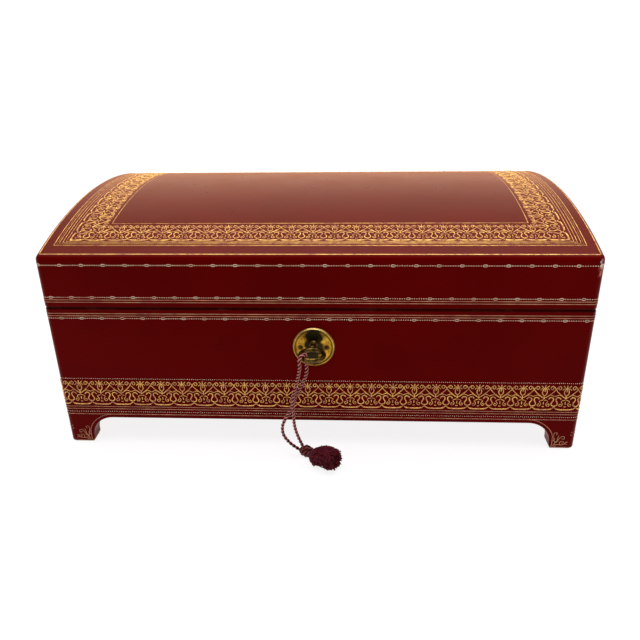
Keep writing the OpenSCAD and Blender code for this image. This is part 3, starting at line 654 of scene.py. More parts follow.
def tubes(name, lines, resolution=2, smooth=True, sides=0):
    """A mesh of round strokes. Each line is a half width, its points and whether it closes on itself."""
    curve = bpy.data.curves.new(name, "CURVE")
    curve.dimensions, curve.resolution_u = "3D", resolution
    curve.bevel_depth, curve.bevel_resolution, curve.use_fill_caps = 1, sides, True
    for width, points, closed in lines:
        spline = curve.splines.new("BEZIER" if smooth else "POLY")
        dots = spline.bezier_points if smooth else spline.points
        dots.add(len(points) - 1)
        for dot, point in zip(dots, points):
            dot.co = Vector(point) if smooth else (*point, 1)
            dot.radius = width
            if smooth:
                dot.handle_left_type = dot.handle_right_type = "AUTO"
        spline.use_cyclic_u = closed
    holder = bpy.data.objects.new(name, curve)
    bpy.context.scene.collection.objects.link(holder)
    mesh = bpy.data.meshes.new_from_object(holder.evaluated_get(bpy.context.evaluated_depsgraph_get()))
    bpy.data.objects.remove(holder)
    bpy.data.curves.remove(curve)
    return mesh


def stamp(bm, mesh, move, turned=False):
    """Adds a copy of a mesh to bm, with each vertex moved to move(x, y, z)."""
    old_verts, old_faces = len(bm.verts), len(bm.faces)
    bm.from_mesh(mesh)
    bm.verts.ensure_lookup_table()
    for v in bm.verts[old_verts:]:
        v.co = move(*v.co)
    if turned:
        bm.faces.ensure_lookup_table()
        bmesh.ops.reverse_faces(bm, faces=bm.faces[old_faces:])


# ---------------------------------------------------------------- gold tooling

# One repeat of the border, in millimetres from the foot of a fleuron's axis: half width of the stroke, then the
# points that it runs through. A stroke off the axis has a twin on the other side.
FLEURON = [
    (0.42, [(0, 13.1), (0, 14.8), (0, 16.2)]),
    (0.34, [(0.2, 13.6), (1.2, 14.9), (2.2, 15.8)]),
    (0.3, [(0.6, 13.4), (1.7, 13.9), (2.5, 13.1)]),
    (0.34, [(0.9, 13.3), (1.35, 11.8), (1.05, 10.3), (0, 9.3)]),
    (0.3, [(0, 13), (0, 12.4), (0, 11.9)]),
    (0.42, [(0, 9.2), (0, 8.3), (0, 7.1)]),
    (0.3, [(0.2, 7.6), (1.9, 9), (3.6, 10.4), (5, 11.9), (6.175, 13.4), (7.2, 15), (8.3, 15.5), (9.2, 14.5),
           (8.4, 13.4), (7.5, 14.1), (8, 14.7)]),
    (0.28, [(1, 8), (2.6, 9.3), (4.2, 9.7), (5.3, 9.2), (6.175, 8.8)]),
    (0.48, [(3.4, 10.2), (3.8, 10.6)]),
    (0.42, [(2.7, 7), (3.4, 8), (4.7, 8.1), (5.45, 7.2), (5.2, 5.8), (4.4, 4.3), (4.8, 2.9), (6.175, 2.3)]),
    (0.28, [(0.2, 6.4), (1.9, 6), (2.3, 5.1), (1.6, 4.3), (1.7, 3), (2.6, 2.3), (3.4, 3), (2.9, 3.9), (2.3, 3.4)]),
    (0.36, [(0, 5.3), (0, 4.4), (0, 3.6)]),
    (0.38, [(0.1, 1.9), (0.6, 2.3)]),
    (0.32, [(6.175, 1.7), (5.5, 1.1), (4.7, 0.35)]),
    (0.48, [(4.9, 0.5), (3.4, 0.1), (0, 0)]),
]
FLEURON_PITCH = 12.35

# Heights of the tooling on the walls, in millimetres
BORDER_Z = 27.3                                     # foot of the scrolled border
CASE_LINES = (86.7, 85.3, 25.6, 24.0, 20.3)
CASE_BEADS = 83.8
DOT_ROWS = (44.8, 22.1)
LID_LINES = (95.0, 93.6)
LID_BEADS = 96.5
# The lid's rings of plain lines: how far in from the ends and from the front, in millimetres, and how wide
LID_RINGS = ((7.8, 10.8, 1), (10.2, 13, 0.8), (11.9, 14, 0.9), (13.6, 15, 0.8), (33.7, 34.6, 0.9))

# The spray on each foot, in millimetres from the foot's cut edge and the floor
FOOT_SPRAY = [
    (0.24, [(1.4, 1.6), (1.4, 8.7), (-0.2, 12.6), (-2.8, 15.6), (-6, 18), (-9.6, 19.6), (-14, 20.3)]),
    (0.18, [(1.4, 1.2), (6, 1.1), (11, 1.4)]),
    (0.24, [(2.4, 2.4), (3.4, 4.2), (4.5, 6), (5.6, 7.3), (6.6, 8.6), (7.9, 8.8), (8.6, 7.7), (7.8, 6.8), (7, 7.4)]),
    (0.22, [(3.1, 4.6), (2.6, 6.8), (2, 9), (2.1, 10.8), (3.1, 11.5), (4, 10.7), (3.4, 9.8)]),
    (0.22, [(2.9, 3.2), (5, 3.1), (7.4, 2.9), (9.2, 3.6), (10.6, 3.2)]),
    (0.2, [(6.2, 3.1), (6.1, 4.7), (7.3, 5.4), (8.4, 4.8), (7.9, 4), (7.2, 4.3)]),
    (0.26, [(9, 3.6), (9.6, 4.6), (10.6, 5.1)]),
    (0.24, [(4.4, 6.2), (4.7, 7.8), (5.1, 9.4)]),
    (0.24, [(3.2, 4.6), (4.4, 4.9), (5.2, 5.9)]),
    (0.26, [(2.2, 5.6), (2.5, 6.4), (3, 7.3)]),
    (0.26, [(2.3, 2), (3.4, 1.9), (4.4, 2.3)]),
]
FOOT_DOTS = [(12.2, 11.7), (13.6, 10.8), (12, 9.8)]


def tool_strokes(name, strokes, sunk, mirrored=False, fine=1.0):
    """A flat mesh of a pattern's strokes, in metres, sunk a little below the leather's surface. The finer ones are
    scaled by fine, and the bold ones against it."""
    lines = []
    for width, points in strokes:
        width *= fine if width < 0.45 else 1 / fine
        for side in (1, -1) if mirrored and any(abs(x) > 0.05 for x, _ in points) else (1,):
            lines.append((width * MM, [(side * x * MM, y * MM, -sunk) for x, y in points], False))
    return tubes(name, lines)


def tool_dots(spots, radius):
    """A flat mesh of raised dots: low six-sided cones without a base."""
    bm = bmesh.new()
    for x, y in spots:
        bmesh.ops.create_cone(bm, cap_ends=True, segments=6, radius1=radius, radius2=0.45 * radius, depth=0.3 * MM,
                              matrix=Matrix.Translation((x, y, 0)))
    return as_mesh(bm, "dots")


def bead_row(pitch):
    """One repeat of a beaded line: a small eye and seven beads."""
    beads = tool_dots([(pitch * (k + 1.6) / 9.2, 0) for k in range(7)], 0.42 * MM)
    eye = [(1.15 * MM * math.cos(a * math.pi / 4), 0.55 * MM * math.sin(a * math.pi / 4), 0) for a in range(8)]
    ring = tubes("eye", [(0.14 * MM, eye, True)])
    bm = bmesh.new()
    bm.from_mesh(beads)
    bm.from_mesh(ring)
    return as_mesh(bm, "bead row")


def wall_line(width, place):
    """A line once round the walls, through place(t)."""
    stops, t = [], -STRAIGHT_X / 2
    for length in (STRAIGHT_X, STRAIGHT_Y, STRAIGHT_X, STRAIGHT_Y):
        stops += [t + length * k / 24 for k in range(25)]
        stops += [t + length + QUARTER * k / 8 for k in range(1, 8)]
        t += length + QUARTER
    return width, [place(t) for t in stops], True


def strike(source, name, body, maker):
    """Makes a piece of tooling, of a bmesh, a mesh or lines, on the leather of a body."""
    mesh = tubes("lines", source, smooth=False) if isinstance(source, list) else source
    return make_piece(mesh, name, body, finish(maker), 180)


class CASE_OT_case_tooling(bpy.types.Operator):
    """Strikes the gold border, lines and beads round the case and on its feet"""
    bl_idname = "jewelcase.case_tooling"
    bl_label = "Case tooling"

    def execute(self, context):
        tooling = context.scene.case_tooling
        pitch, sunk = OUTLINE / tooling.repeats, tooling.sunk
        stretch = pitch / (FLEURON_PITCH * MM)
        first = -5.05 * MM                                # axis of the fleuron nearest the keyhole, on its left

        border = tool_strokes("fleuron", FLEURON, sunk, True)
        bm = bmesh.new()
        for k in range(tooling.repeats):
            stamp(bm, border, lambda x, y, z: round_wall(first + k * pitch + x * stretch, BORDER_Z * MM + y, z))
        strike(bm, "case_border", "case", gold_leaf)

        width = tooling.fillet
        lines = [wall_line(width, lambda t: round_wall(t, z * MM, -sunk)) for z in CASE_LINES]
        strike(lines, "case_lines", "case", rubbed_leaf)

        bm = bmesh.new()
        step = OUTLINE / tooling.eyes
        row = bead_row(step)
        for k in range(tooling.eyes):
            stamp(bm, row, lambda x, y, z: round_wall(k * step - 3.65 * MM + x, CASE_BEADS * MM + y, z))
        dots = tool_dots([(pitch * (k + 0.5) / 11, 0) for k in range(11)], 0.31 * MM)
        for k in range(tooling.repeats):
            for z0 in DOT_ROWS:
                stamp(bm, dots, lambda x, y, z: round_wall(first + k * pitch + x, z0 * MM + y, z))
        strike(bm, "case_beads", "case", pale_leaf)

        spray = tool_strokes("spray", FOOT_SPRAY, sunk)
        berries = tool_dots([(x * MM, y * MM) for x, y in FOOT_DOTS], 0.52 * MM)
        bm = bmesh.new()
        for middle, half in ((0, HALF_W - FOOT_W), (SIDE_T, HALF_D - FOOT_W), (OUTLINE / 2, HALF_W - FOOT_W),
                             (-SIDE_T, HALF_D - FOOT_W)):
            for side in (1, -1):
                for mesh in (spray, berries):
                    stamp(bm, mesh, lambda x, y, z: round_wall(middle + side * (half + x), y, z), side < 0)
        strike(bm, "foot_sprays", "case", rubbed_leaf)
        return {"FINISHED"}


class CASE_OT_lid_tooling(bpy.types.Operator):
    """Strikes the mitred gold border on the dome, and the lines and beads of the lid's walls"""
    bl_idname = "jewelcase.lid_tooling"
    bl_label = "Lid tooling"

    def execute(self, context):
        tooling, covers = context.scene.case_tooling, context.scene.case_covers
        sunk, pitch = tooling.sunk, tooling.lid_pitch
        stretch = pitch / (FLEURON_PITCH * MM)
        end_x, end_s = HALF_W - 15.5 * MM, DOME_ARC / 2 - 16 * MM      # outer edge of the scalloped border
        border = tool_strokes("fleuron", FLEURON, sunk, True, 0.82)

        bm = bmesh.new()
        for turn, (length, reach, start) in enumerate(2 * ((end_x, end_s, -111), (end_s, end_x, -97.2))):
            strip = bmesh.new()
            start = start * MM - 3 * pitch
            while start < length + pitch:
                stamp(strip, border, lambda x, y, z: Vector((start + x * stretch, y * 1.03, z)))
                start += pitch
            for side in (1, -1):
                bmesh.ops.bisect_plane(strip, geom=strip.verts[:] + strip.edges[:] + strip.faces[:],
                                       plane_co=(side * length, 0, 0), plane_no=(side, 1, 0), clear_outer=True)
                rims = [e for e in strip.edges if e.is_boundary]
                bmesh.ops.holes_fill(strip, edges=rims, sides=0)
            flat = as_mesh(strip, "strip")
            turned = Matrix.Rotation(turn * math.pi / 2, 2)

            def place(x, y, z):
                p = turned @ Vector((x, y - reach))
                return on_dome(p.x, p.y, z)

            stamp(bm, flat, place)
        strike(bm, "lid_border", "lid", gold_leaf)

        width = tooling.fillet
        lines = []
        for side_in, front_in, wide in LID_RINGS:
            x, s = HALF_W - side_in * MM, DOME_ARC / 2 - front_in * MM
            ring = [on_dome(x, -s + 2 * s * k / 40, -sunk) for k in range(41)]
            ring += [on_dome(-x, s - 2 * s * k / 40, -sunk) for k in range(41)]
            lines.append((width * wide, ring, True))
        strike(lines, "lid_lines", "lid", gold_leaf)
        lines = [wall_line(1.15 * width, lambda t: arch_wall(t, sunk, -0.87 * covers.arris))]
        strike(lines, "lid_arris_line", "lid", gold_leaf)
        lines = [wall_line(width, lambda t: round_wall(t, z * MM, -sunk)) for z in LID_LINES]
        strike(lines, "lid_wall_lines", "lid", rubbed_leaf)

        bm = bmesh.new()
        for count, place in ((tooling.eyes, lambda t, y, z: round_wall(t + 4.3 * MM, LID_BEADS * MM + y, z)),
                             (tooling.eyes - 3, lambda t, y, z: arch_wall(t + 6 * MM, 4.4 * MM - y, z))):
            step = OUTLINE / count
            row = bead_row(step)
            for k in range(count):
                stamp(bm, row, lambda x, y, z: place(k * step + x, y, z))
        strike(bm, "lid_beads", "lid", pale_leaf)

        bm = bmesh.new()
        x, s = HALF_W - 9.1 * MM, DOME_ARC / 2 - 11.9 * MM
        dot = tool_dots([(0, 0)], 0.3 * MM)
        across, deep = round(2 * x / (1.05 * MM)), round(2 * s / (1.05 * MM))
        spots = [(-x + 2 * x * k / across, side * s) for k in range(across + 1) for side in (1, -1)]
        spots += [(side * x, -s + 2 * s * k / deep) for k in range(1, deep) for side in (1, -1)]
        for px, ps in spots:
            stamp(bm, dot, lambda x, y, z: on_dome(px + x, ps + y, z))
        strike(bm, "lid_dots", "lid", gold_leaf)
        return {"FINISHED"}


# ---------------------------------------------------------------- leather covers

def solids_of(node):
    """The lowest and highest corners of each separate solid of a CAD node, from left to right."""
    bm = bmesh.new()
    bm.from_mesh(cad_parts[node].data)
    weld(bm)
    left, boxes = set(bm.verts), []
    while left:
        stack, found = [left.pop()], []
        while stack:
            v = stack.pop()
            found.append(v.co.copy())
            for e in v.link_edges:
                other = e.other_vert(v)
                if other in left:
                    left.remove(other)
                    stack.append(other)
        boxes.append((Vector([min(c[i] for c in found) for i in range(3)]),
                      Vector([max(c[i] for c in found) for i in range(3)])))
    bm.free()
    return sorted(boxes, key=lambda pair: tuple(pair[0]))


def leaf_seats():
    """Left and right ends of each hinge."""
    return [(lo.x, hi.x) for lo, hi in solids_of("hinge_lower_leaves")]


class CASE_OT_covers(bpy.types.Operator):
    """Covers the case and the lid in glazed leather, turned over the rims and the bracket feet"""
    bl_idname = "jewelcase.covers"
    bl_label = "Leather covers"

    def execute(self, context):
        covers = context.scene.case_covers
        leather = finish(glazed_goatskin)
        slack = 0.1 * MM                                  # keeps the cover's inside behind the boards' faces
        inner_x, inner_y = INNER_X + slack, INNER_Y + slack

        bm = cut(block(CASE_LO.z, RIM_Z), box((-inner_x, -inner_y, -MM), (inner_x, inner_y, RIM_Z + MM)),
                 opening(HALF_W - FOOT_W, HALF_D + MM), opening(HALF_W + MM, HALF_D - FOOT_W))
        soles = [e for e in sharp_edges(bm) if all(v.co.z < CASE_LO.z + TINY for v in e.verts)
                 and sum(on_wall(v.co) for v in e.verts) == 1]
        round_edges(bm, soles, 2 * MM, 4)
        round_edges(bm, wall_edges(bm, -MM, RIM_Z + MM), covers.turned, 3)
        for node, above in (("lock_plate", 1), ("lock_box", 2)):
            lo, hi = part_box(node)
            bm = cut(bm, box(lo, (hi.x, hi.y + MM, hi.z + above * MM)))
        bm = cut(bm, keyhole(-HALF_D, 6.6 * MM, 10 * MM, 32))
        for lo, hi in leaf_seats():
            bm = cut(bm, box((lo, LEAF_Y, RIM_Z - LEAF_T), (hi, HALF_D + MM, RIM_Z + MM)))
        cover = make_piece(bm, "case_cover", "case", leather)
        weigh_normals(cover)
        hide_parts("case_leather")

        dome = vault(0, HALF_W + MM, HALF_D + MM, LID_RIM_Z - MM)
        bm = combined(block(LID_RIM_Z, LID_TOP_Z + MM), dome, "INTERSECT")
        round_edges(bm, wall_edges(bm, LID_EDGE_Z - 6 * MM, LID_TOP_Z + MM), covers.arris, 6)
        round_edges(bm, wall_edges(bm, LID_RIM_Z - TINY, LID_RIM_Z + TINY), covers.turned, 3)
        lo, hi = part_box("lock_catch")
        bm = cut(bm, vault(1.5 * MM, inner_x, inner_y, LID_RIM_Z - MM),
                 box((lo.x, lo.y, LID_RIM_Z - MM), (hi.x, hi.y + MM, LID_RIM_Z + LEAF_T)))
        for lo, hi in leaf_seats():
            bm = cut(bm, box((lo, LEAF_Y, LID_RIM_Z - MM), (hi, HALF_D + MM, LID_RIM_Z + LEAF_T)))
        cover = make_piece(bm, "lid_cover", "lid", leather)
        cover.data.materials.append(finish(polished_goatskin))
        for face in cover.data.polygons:
            face.material_index = 1 if face.normal.z > 0.8 else 0
        weigh_normals(cover)
        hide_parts("lid_leather")
        return {"FINISHED"}


# ---------------------------------------------------------------- brass

def turned_part(profile, steps=96):
    """A part turned about the Y axis: profile gives radius and Y from one end of the axis to the other."""
    bm = bmesh.new()
    verts = [bm.verts.new((r, y, 0)) for r, y in profile]
    edges = [bm.edges.new(pair) for pair in zip(verts, verts[1:])]
    bmesh.ops.spin(bm, geom=verts + edges, cent=(0, 0, 0), axis=(0, 1, 0), angle=2 * math.pi, steps=steps,
                   use_merge=True)
    weld(bm)
    bmesh.ops.recalc_face_normals(bm, faces=bm.faces)
    return bm


class CASE_OT_escutcheon(bpy.types.Operator):
    """Turns the round escutcheon with its bright rim and sunk ring, and cuts the keyhole"""
    bl_idname = "jewelcase.escutcheon"
    bl_label = "Escutcheon"

    def execute(self, context):
        lo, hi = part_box("escutcheon")
        radius, back, front = (hi.x - lo.x) / 2, hi.y, lo.y
        centre_z = (lo.z + hi.z) / 2
        steps = [(0, 0), (1, 0), (1, 0.35), (0.985, 0.62), (0.955, 0.92), (0.93, 1), (0.905, 0.97), (0.885, 0.82),
                 (0.865, 0.7), (0.845, 0.74), (0.8, 0.76), (0, 0.82)]
        bm = turned_part([(r * radius, back + (front - back) * d) for r, d in steps])
        bmesh.ops.translate(bm, vec=(LOCK_X, 0, centre_z), verts=bm.verts)
        bm = cut(bm, keyhole(back, 2 * MM, 6 * MM, 48),
                 box((LOCK_X - 1.1 * MM, back - 3 * MM, KEY_Z - 6.2 * MM), (LOCK_X + 1.1 * MM, back + MM, KEY_Z)))
        plate = make_piece(bm, "escutcheon_plate", "case", finish(lacquered_brass), 24)
        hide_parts("escutcheon")
        return {"FINISHED"}


class CASE_OT_key(bpy.types.Operator):
    """Makes the key: turned shank and collar, wire bow with a soldered heel, and the bit"""
    bl_idname = "jewelcase.key"
    bl_label = "Key"

    def execute(self, context):
        lo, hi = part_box("key")
        wire = 1.4 * MM
        bow_r = (hi.x - lo.x) / 2 - wire
        bow_y = lo.y + bow_r + wire
        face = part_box("escutcheon")[0].y
        shank = 1.7 * MM
        end, neck = hi.y, bow_y + bow_r - 0.6 * wire
        # radius over the shank's, and the place along it, in millimetres: the collar from the escutcheon out, then
        # the heel from the bow's edge in
        collar = [(0, 0), (0.5, -0.02), (0.95, -0.5), (1, -1), (0.8, -1.6), (0.2, -2), (-0.1, -2.4)]
        heel = [(0.3, 1.6), (0.5, 0.9), (0.2, 0.3)]
        profile = [(0, end), (shank - 0.3 * MM, end), (shank, end - 0.3 * MM)]
        profile += [(shank + r * MM, y0 + y * MM) for y0, ring in ((face, collar), (neck, heel)) for r, y in ring]
        bm = turned_part(profile + [(0.9 * MM, neck), (0, neck)], 48)
        bmesh.ops.translate(bm, vec=(LOCK_X, 0, KEY_Z), verts=bm.verts)
        ring = bmesh.new()
        place = Matrix.Translation((bow_r, 0, 0)) @ Matrix.Rotation(math.pi / 2, 4, "X")
        section = bmesh.ops.create_circle(ring, segments=14, radius=wire, matrix=place)
        bmesh.ops.scale(ring, vec=(0.92, 1, 1), verts=section["verts"])
        bmesh.ops.spin(ring, geom=ring.verts[:] + ring.edges[:], cent=(0, 0, 0), axis=(0, 0, 1), angle=2 * math.pi,
                       steps=72, use_merge=True)
        weld(ring)
        bmesh.ops.recalc_face_normals(ring, faces=ring.faces)
        bmesh.ops.translate(ring, vec=(LOCK_X, bow_y, KEY_Z), verts=ring.verts)
        bm.from_mesh(as_mesh(ring, "bow"))
        bit_y = -95 * MM
        bit = box((LOCK_X - 6 * MM, bit_y - 1.6 * MM, KEY_Z - 0.9 * MM),
                  (LOCK_X - 1 * MM, bit_y + 1.6 * MM, KEY_Z + 0.9 * MM))
        round_edges(bit, bit.edges[:], 0.15 * MM, 2)
        bm.from_mesh(as_mesh(bit, "bit"))
        key = make_piece(bm, "key_with_bow", "key", finish(handled_brass), 40)
        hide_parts("key")
        return {"FINISHED"}


# ---------------------------------------------------------------- cord and tassel

# Centreline of the hitch over the bow, and the routes below it, in millimetres, as in part.scad
HITCH = (-5.617, -122.128, 69.5)
HITCH_R = 2.7
HITCH_TURN = math.radians(228)
FRONT_ROUTE = [(-7.424, -124.134, 69.2), (-7.4, -123.5, 65), (-8.4, -121.5, 59), (-9.8, -120, 53), (-11.4, -119, 47),
               (-12.2, -118.2, 40), (-12.3, -117.2, 32), (-12.2, -116.2, 24), (-10.8, -115.2, 16.5),
               (-8.4, -114.2, 9), (-7, -113.8, 5.5)]
BACK_ROUTE = [(-3.810, -120.122, 69.2), (-4, -119.4, 65), (-4.1, -118.6, 60), (-5.4, -117.8, 55), (-7.6, -117, 50),
              (-9.8, -116.2, 45), (-11.8, -115.6, 40), (-13.8, -115, 34), (-16.8, -114.8, 28), (-19.2, -114.6, 22),
              (-18.8, -114.4, 15.5), (-15, -114, 9.5), (-9.4, -113.7, 4.6)]
KNOT = Vector((-6, -113.6, 3.7)) * MM
TASSEL_TURN = math.radians(-38)
ALONG = Vector((math.cos(TASSEL_TURN), math.sin(TASSEL_TURN), 0))      # from the knot into the tassel
ACROSS = Vector((-ALONG.y, ALONG.x, 0))
UP = Vector((0, 0, 1))


def smooth_path(points, step, closed=False):
    """Points about step apart on a smooth line through the given points."""
    points = [Vector(p) for p in points]
    count = len(points)
    made = []
    for i in range(count if closed else count - 1):
        if closed:
            a, b, c, d = (points[(i + k) % count] for k in (-1, 0, 1, 2))
        else:
            b, c = points[i], points[i + 1]
            a = points[i - 1] if i else b * 2 - c
            d = points[i + 2] if i + 2 < count else c * 2 - b
        parts = max(2, round((c - b).length / step))
        for k in range(parts):
            t = k / parts
            made.append(0.5 * (2 * b + (c - a) * t + (2 * a - 5 * b + 4 * c - d) * t * t
                               + (3 * b - a - 3 * c + d) * t * t * t))
    if not closed:
        made.append(points[-1])
    return made


def path_length(path):
    return sum((b - a).length for a, b in zip(path, path[1:]))


def twisted_plies(path, diameter, lay, normal, closed=False):
    """A mesh of two plies twisted round a path, with how deep each point lies between them as "depth", lowered near
    the floor; the rayon's colour paints shade and highlight from it.
    """
    turns = path_length(path) / lay
    if closed:
        lay = path_length(path) / round(turns)
    plies, travelled = [[], []], 0.0
    normal = Vector(normal)
    for i, p in enumerate(path):
        ahead = path[(i + 1) % len(path)] if closed or i + 1 < len(path) else p
        behind = path[i - 1] if closed or i else p
        tangent = (ahead - behind).normalized()
        normal = (normal - tangent * normal.dot(tangent)).normalized()
        side = tangent.cross(normal)
        if i:
            travelled += (p - path[i - 1]).length
        angle = travelled / lay * 2 * math.pi
        offset = (normal * math.cos(angle) + side * math.sin(angle)) * diameter * 0.245
        plies[0].append(p + offset)
        plies[1].append(p - offset)
    mesh = tubes("plies", [(diameter * 0.27, ply, closed) for ply in plies], smooth=False, sides=2)
    tree = kdtree.KDTree(len(path))
    for i, p in enumerate(path):
        tree.insert(p, i)
    tree.balance()
    depth = mesh.attributes.new("depth", "FLOAT", "POINT")
    # painted shade low down: near the floor the cord and the knot count as lying deeper, so their colour comes out
    # darker
    depth.data.foreach_set("value", [min(1.0, tree.find(v.co)[2] / (0.5 * diameter))
                                     * (0.82 + 0.18 * min(1.0, v.co.z / (25 * MM))) for v in mesh.vertices])
    return mesh


class CASE_OT_cord(bpy.types.Operator):
    """Twists the doubled cord that hangs from the key's bow, ties its knot and makes its tassel"""
    bl_idname = "jewelcase.cord"
    bl_label = "Cord and tassel"

    def execute(self, context):
        cord = context.scene.case_cord
        knot = self.tie_knot(cord)
        tassel = self.fill_tassel(cord)
        hitch = Vector(HITCH)
        out = Vector((math.cos(HITCH_TURN), math.sin(HITCH_TURN), 0))
        for name, side, route, nodes in (("cord_front", 1, FRONT_ROUTE, ("cord_front_strand", "cord_hitch")),
                                         ("cord_back", -1, BACK_ROUTE, ("cord_back_strand",))):
            over = [hitch + (out * side * math.sin(a * math.pi / 10) + UP * math.cos(a * math.pi / 10)) * HITCH_R
                    for a in range(5)]
            path = smooth_path([p * MM for p in over + [Vector(p) for p in route]], 0.35 * MM)
            mesh = twisted_plies(path, cord.diameter, cord.lay, out.cross(UP))
            strand = make_piece(mesh, name, None, finish(twisted_rayon), 180)
            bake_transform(strand)
            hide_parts(*nodes)
        return {"FINISHED"}

    def tie_knot(self, cord):
        """The same cord wound round itself and drawn tight."""
        lo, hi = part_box("tassel_knot")
        radius, count, turns = (hi.z - lo.z) / 2, 130, 3.6
        path = []
        for k in range(count):
            s = k / (count - 1)
            a = 2 * math.pi * turns * s + 0.6
            out = (radius - 0.46 * cord.diameter) * min(1, 7 * s, 7 * (1 - s)) ** 0.5 * (1 - 0.5 * (s - 0.5) ** 2)
            path.append(KNOT + ALONG * (s - 0.5) * 1.75 * radius
                        + ACROSS * out * (math.cos(a) + 0.12) + UP * out * math.sin(a) * 0.95)
        mesh = twisted_plies(path, 0.95 * cord.diameter, cord.lay, ALONG)
        knot = make_piece(mesh, "cord_knot", "case", finish(twisted_rayon), 180)
        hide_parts("tassel_knot")
        return knot

    def fill_tassel(self, cord):
        """Soft yarns that spread at once from the knot over a rounded heart, with short ends fluffed out of it."""
        rng = random.Random(7)
        lo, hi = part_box("tassel")
        length, radius, middle = 19.2 * MM, 6.1 * MM, (lo.z + hi.z) / 2
        neck = KNOT + ALONG * 3.6 * MM

        def skin(u, turn):
            """Radius at a share u of the length and an angle round it: it swells from the knot and closes at the
            end, with lumps."""
            lumps = 1 + 0.24 * noise.noise(Vector((3.2 * u, 1.5 * math.cos(turn), 1.5 * math.sin(turn) + 4)))
            end = 1 if u < 0.66 else math.sqrt(max(0.0, 1 - ((u - 0.66) / 0.4) ** 2))
            return radius * min(1.0, 0.34 + 2.6 * u) * lumps * end

        def place(u, turn, r):
            level = neck.z + (middle - neck.z) * min(1, 1.6 * u)
            p = neck + ALONG * u * length + ACROSS * r * math.cos(turn)
            p.z = level + 0.92 * r * math.sin(turn)
            return p

        lines = []
        for k in range(cord.yarns):
            turn, shell, reach = 2 * math.pi * rng.random(), 1 - 0.8 * rng.random() ** 1.7, 0.7 + 0.27 * rng.random()
            sway, points = Vector((0, 0, 0)), []
            for j in range(7):
                u = reach * j / 6
                sway += Vector((rng.uniform(-1, 1), rng.uniform(-1, 1), rng.uniform(-1, 1))) * 0.4 * MM
                turn += rng.uniform(-0.16, 0.16)
                p = place(u, turn, 0.93 * skin(u, turn) * shell) + sway * min(1, 2 * u)
                p.z = max(p.z, 0.55 * MM)
                points.append(p)
            lines.append((rng.uniform(0.32, 0.5) * MM, points, False))
        for k in range(round(1.8 * cord.yarns)):
            turn, u = 2 * math.pi * rng.random(), 0.95 * rng.random() ** 0.8
            start = place(u, turn, 0.85 * skin(u, turn))
            ahead = place(min(u + 0.1, 1), turn + rng.uniform(-0.5, 0.5), 1.03 * skin(u, turn))
            ahead += Vector((rng.uniform(-1, 1), rng.uniform(-1, 1), rng.uniform(-1, 1))) * 0.5 * MM
            out = (start - neck - ALONG * u * length).normalized()
            points = [start, start.lerp(ahead, 0.55) + out * 0.3 * MM, ahead]
            for p in points:
                p.z = max(p.z, 0.5 * MM)
            lines.append((rng.uniform(0.24, 0.42) * MM, points, False))
        tip = [place(u, 0.3, 0.2 * radius) + Vector((0, -1, -0.6)) * MM * u for u in (0.7, 0.88, 1.04, 1.15)]
        lines += [(0.5 * MM, tip[:3], False), (0.28 * MM, tip, False)]
        bm = bmesh.new()
        bm.from_mesh(tubes("yarns", lines, resolution=1))
        for v in bmesh.ops.create_icosphere(bm, subdivisions=4, radius=1)["verts"]:
            u, turn = 0.02 + 0.45 * (v.co.x + 1), math.atan2(v.co.z, v.co.y)
            p = place(u, turn, skin(u, turn) * 0.8 * min(1, math.hypot(v.co.y, v.co.z) * 1.2))
            v.co = p + Vector((noise.noise(p * 500), noise.noise(p * 500 + Vector((9, 0, 0))), 0)) * 0.5 * MM
            v.co.z = max(v.co.z, 0.3 * MM)
        piece = make_piece(bm, "tassel_skirt", "case", finish(chenille_yarn), 180)
        # the "depth" attribute that the chenille turns into painted shade: how far out from the tassel's middle each
        # point lies, with the far end left light
        values = []
        for v in piece.data.vertices:
            local = v.co - neck
            u = min(1, max(0.02, local.dot(ALONG) / length))
            level = neck.z + (middle - neck.z) * min(1, 1.6 * u)
            turn = math.atan2((v.co.z - level) / 0.92, local.dot(ACROSS))
            out = math.hypot(local.dot(ACROSS), (v.co.z - level) / 0.92) / max(1.04 * skin(u, turn), 2 * MM)
            end = (local.dot(ALONG) / length - 0.6) / 0.34            # the far end shows its tips, not its heart
            values.append(min(1.0, max(out, end)))
        piece.data.attributes.new("depth", "FLOAT", "POINT").data.foreach_set("value", values)
        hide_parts("tassel")
        return piece


# ---------------------------------------------------------------- linings

def folded(node, body, material, width):
    """A copy of a board of the lining or tray with the cloth's rounding at its edges."""
    bm = bmesh.new()
    bm.from_mesh(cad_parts[node].data)
    weld(bm)
    bmesh.ops.dissolve_limit(bm, angle_limit=math.radians(1), verts=bm.verts, edges=bm.edges)
    round_edges(bm, sharp_edges(bm), width, 2)
    piece = make_piece(bm, node + "_cloth", body, material)
    weigh_normals(piece)
    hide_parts(node)
    return piece


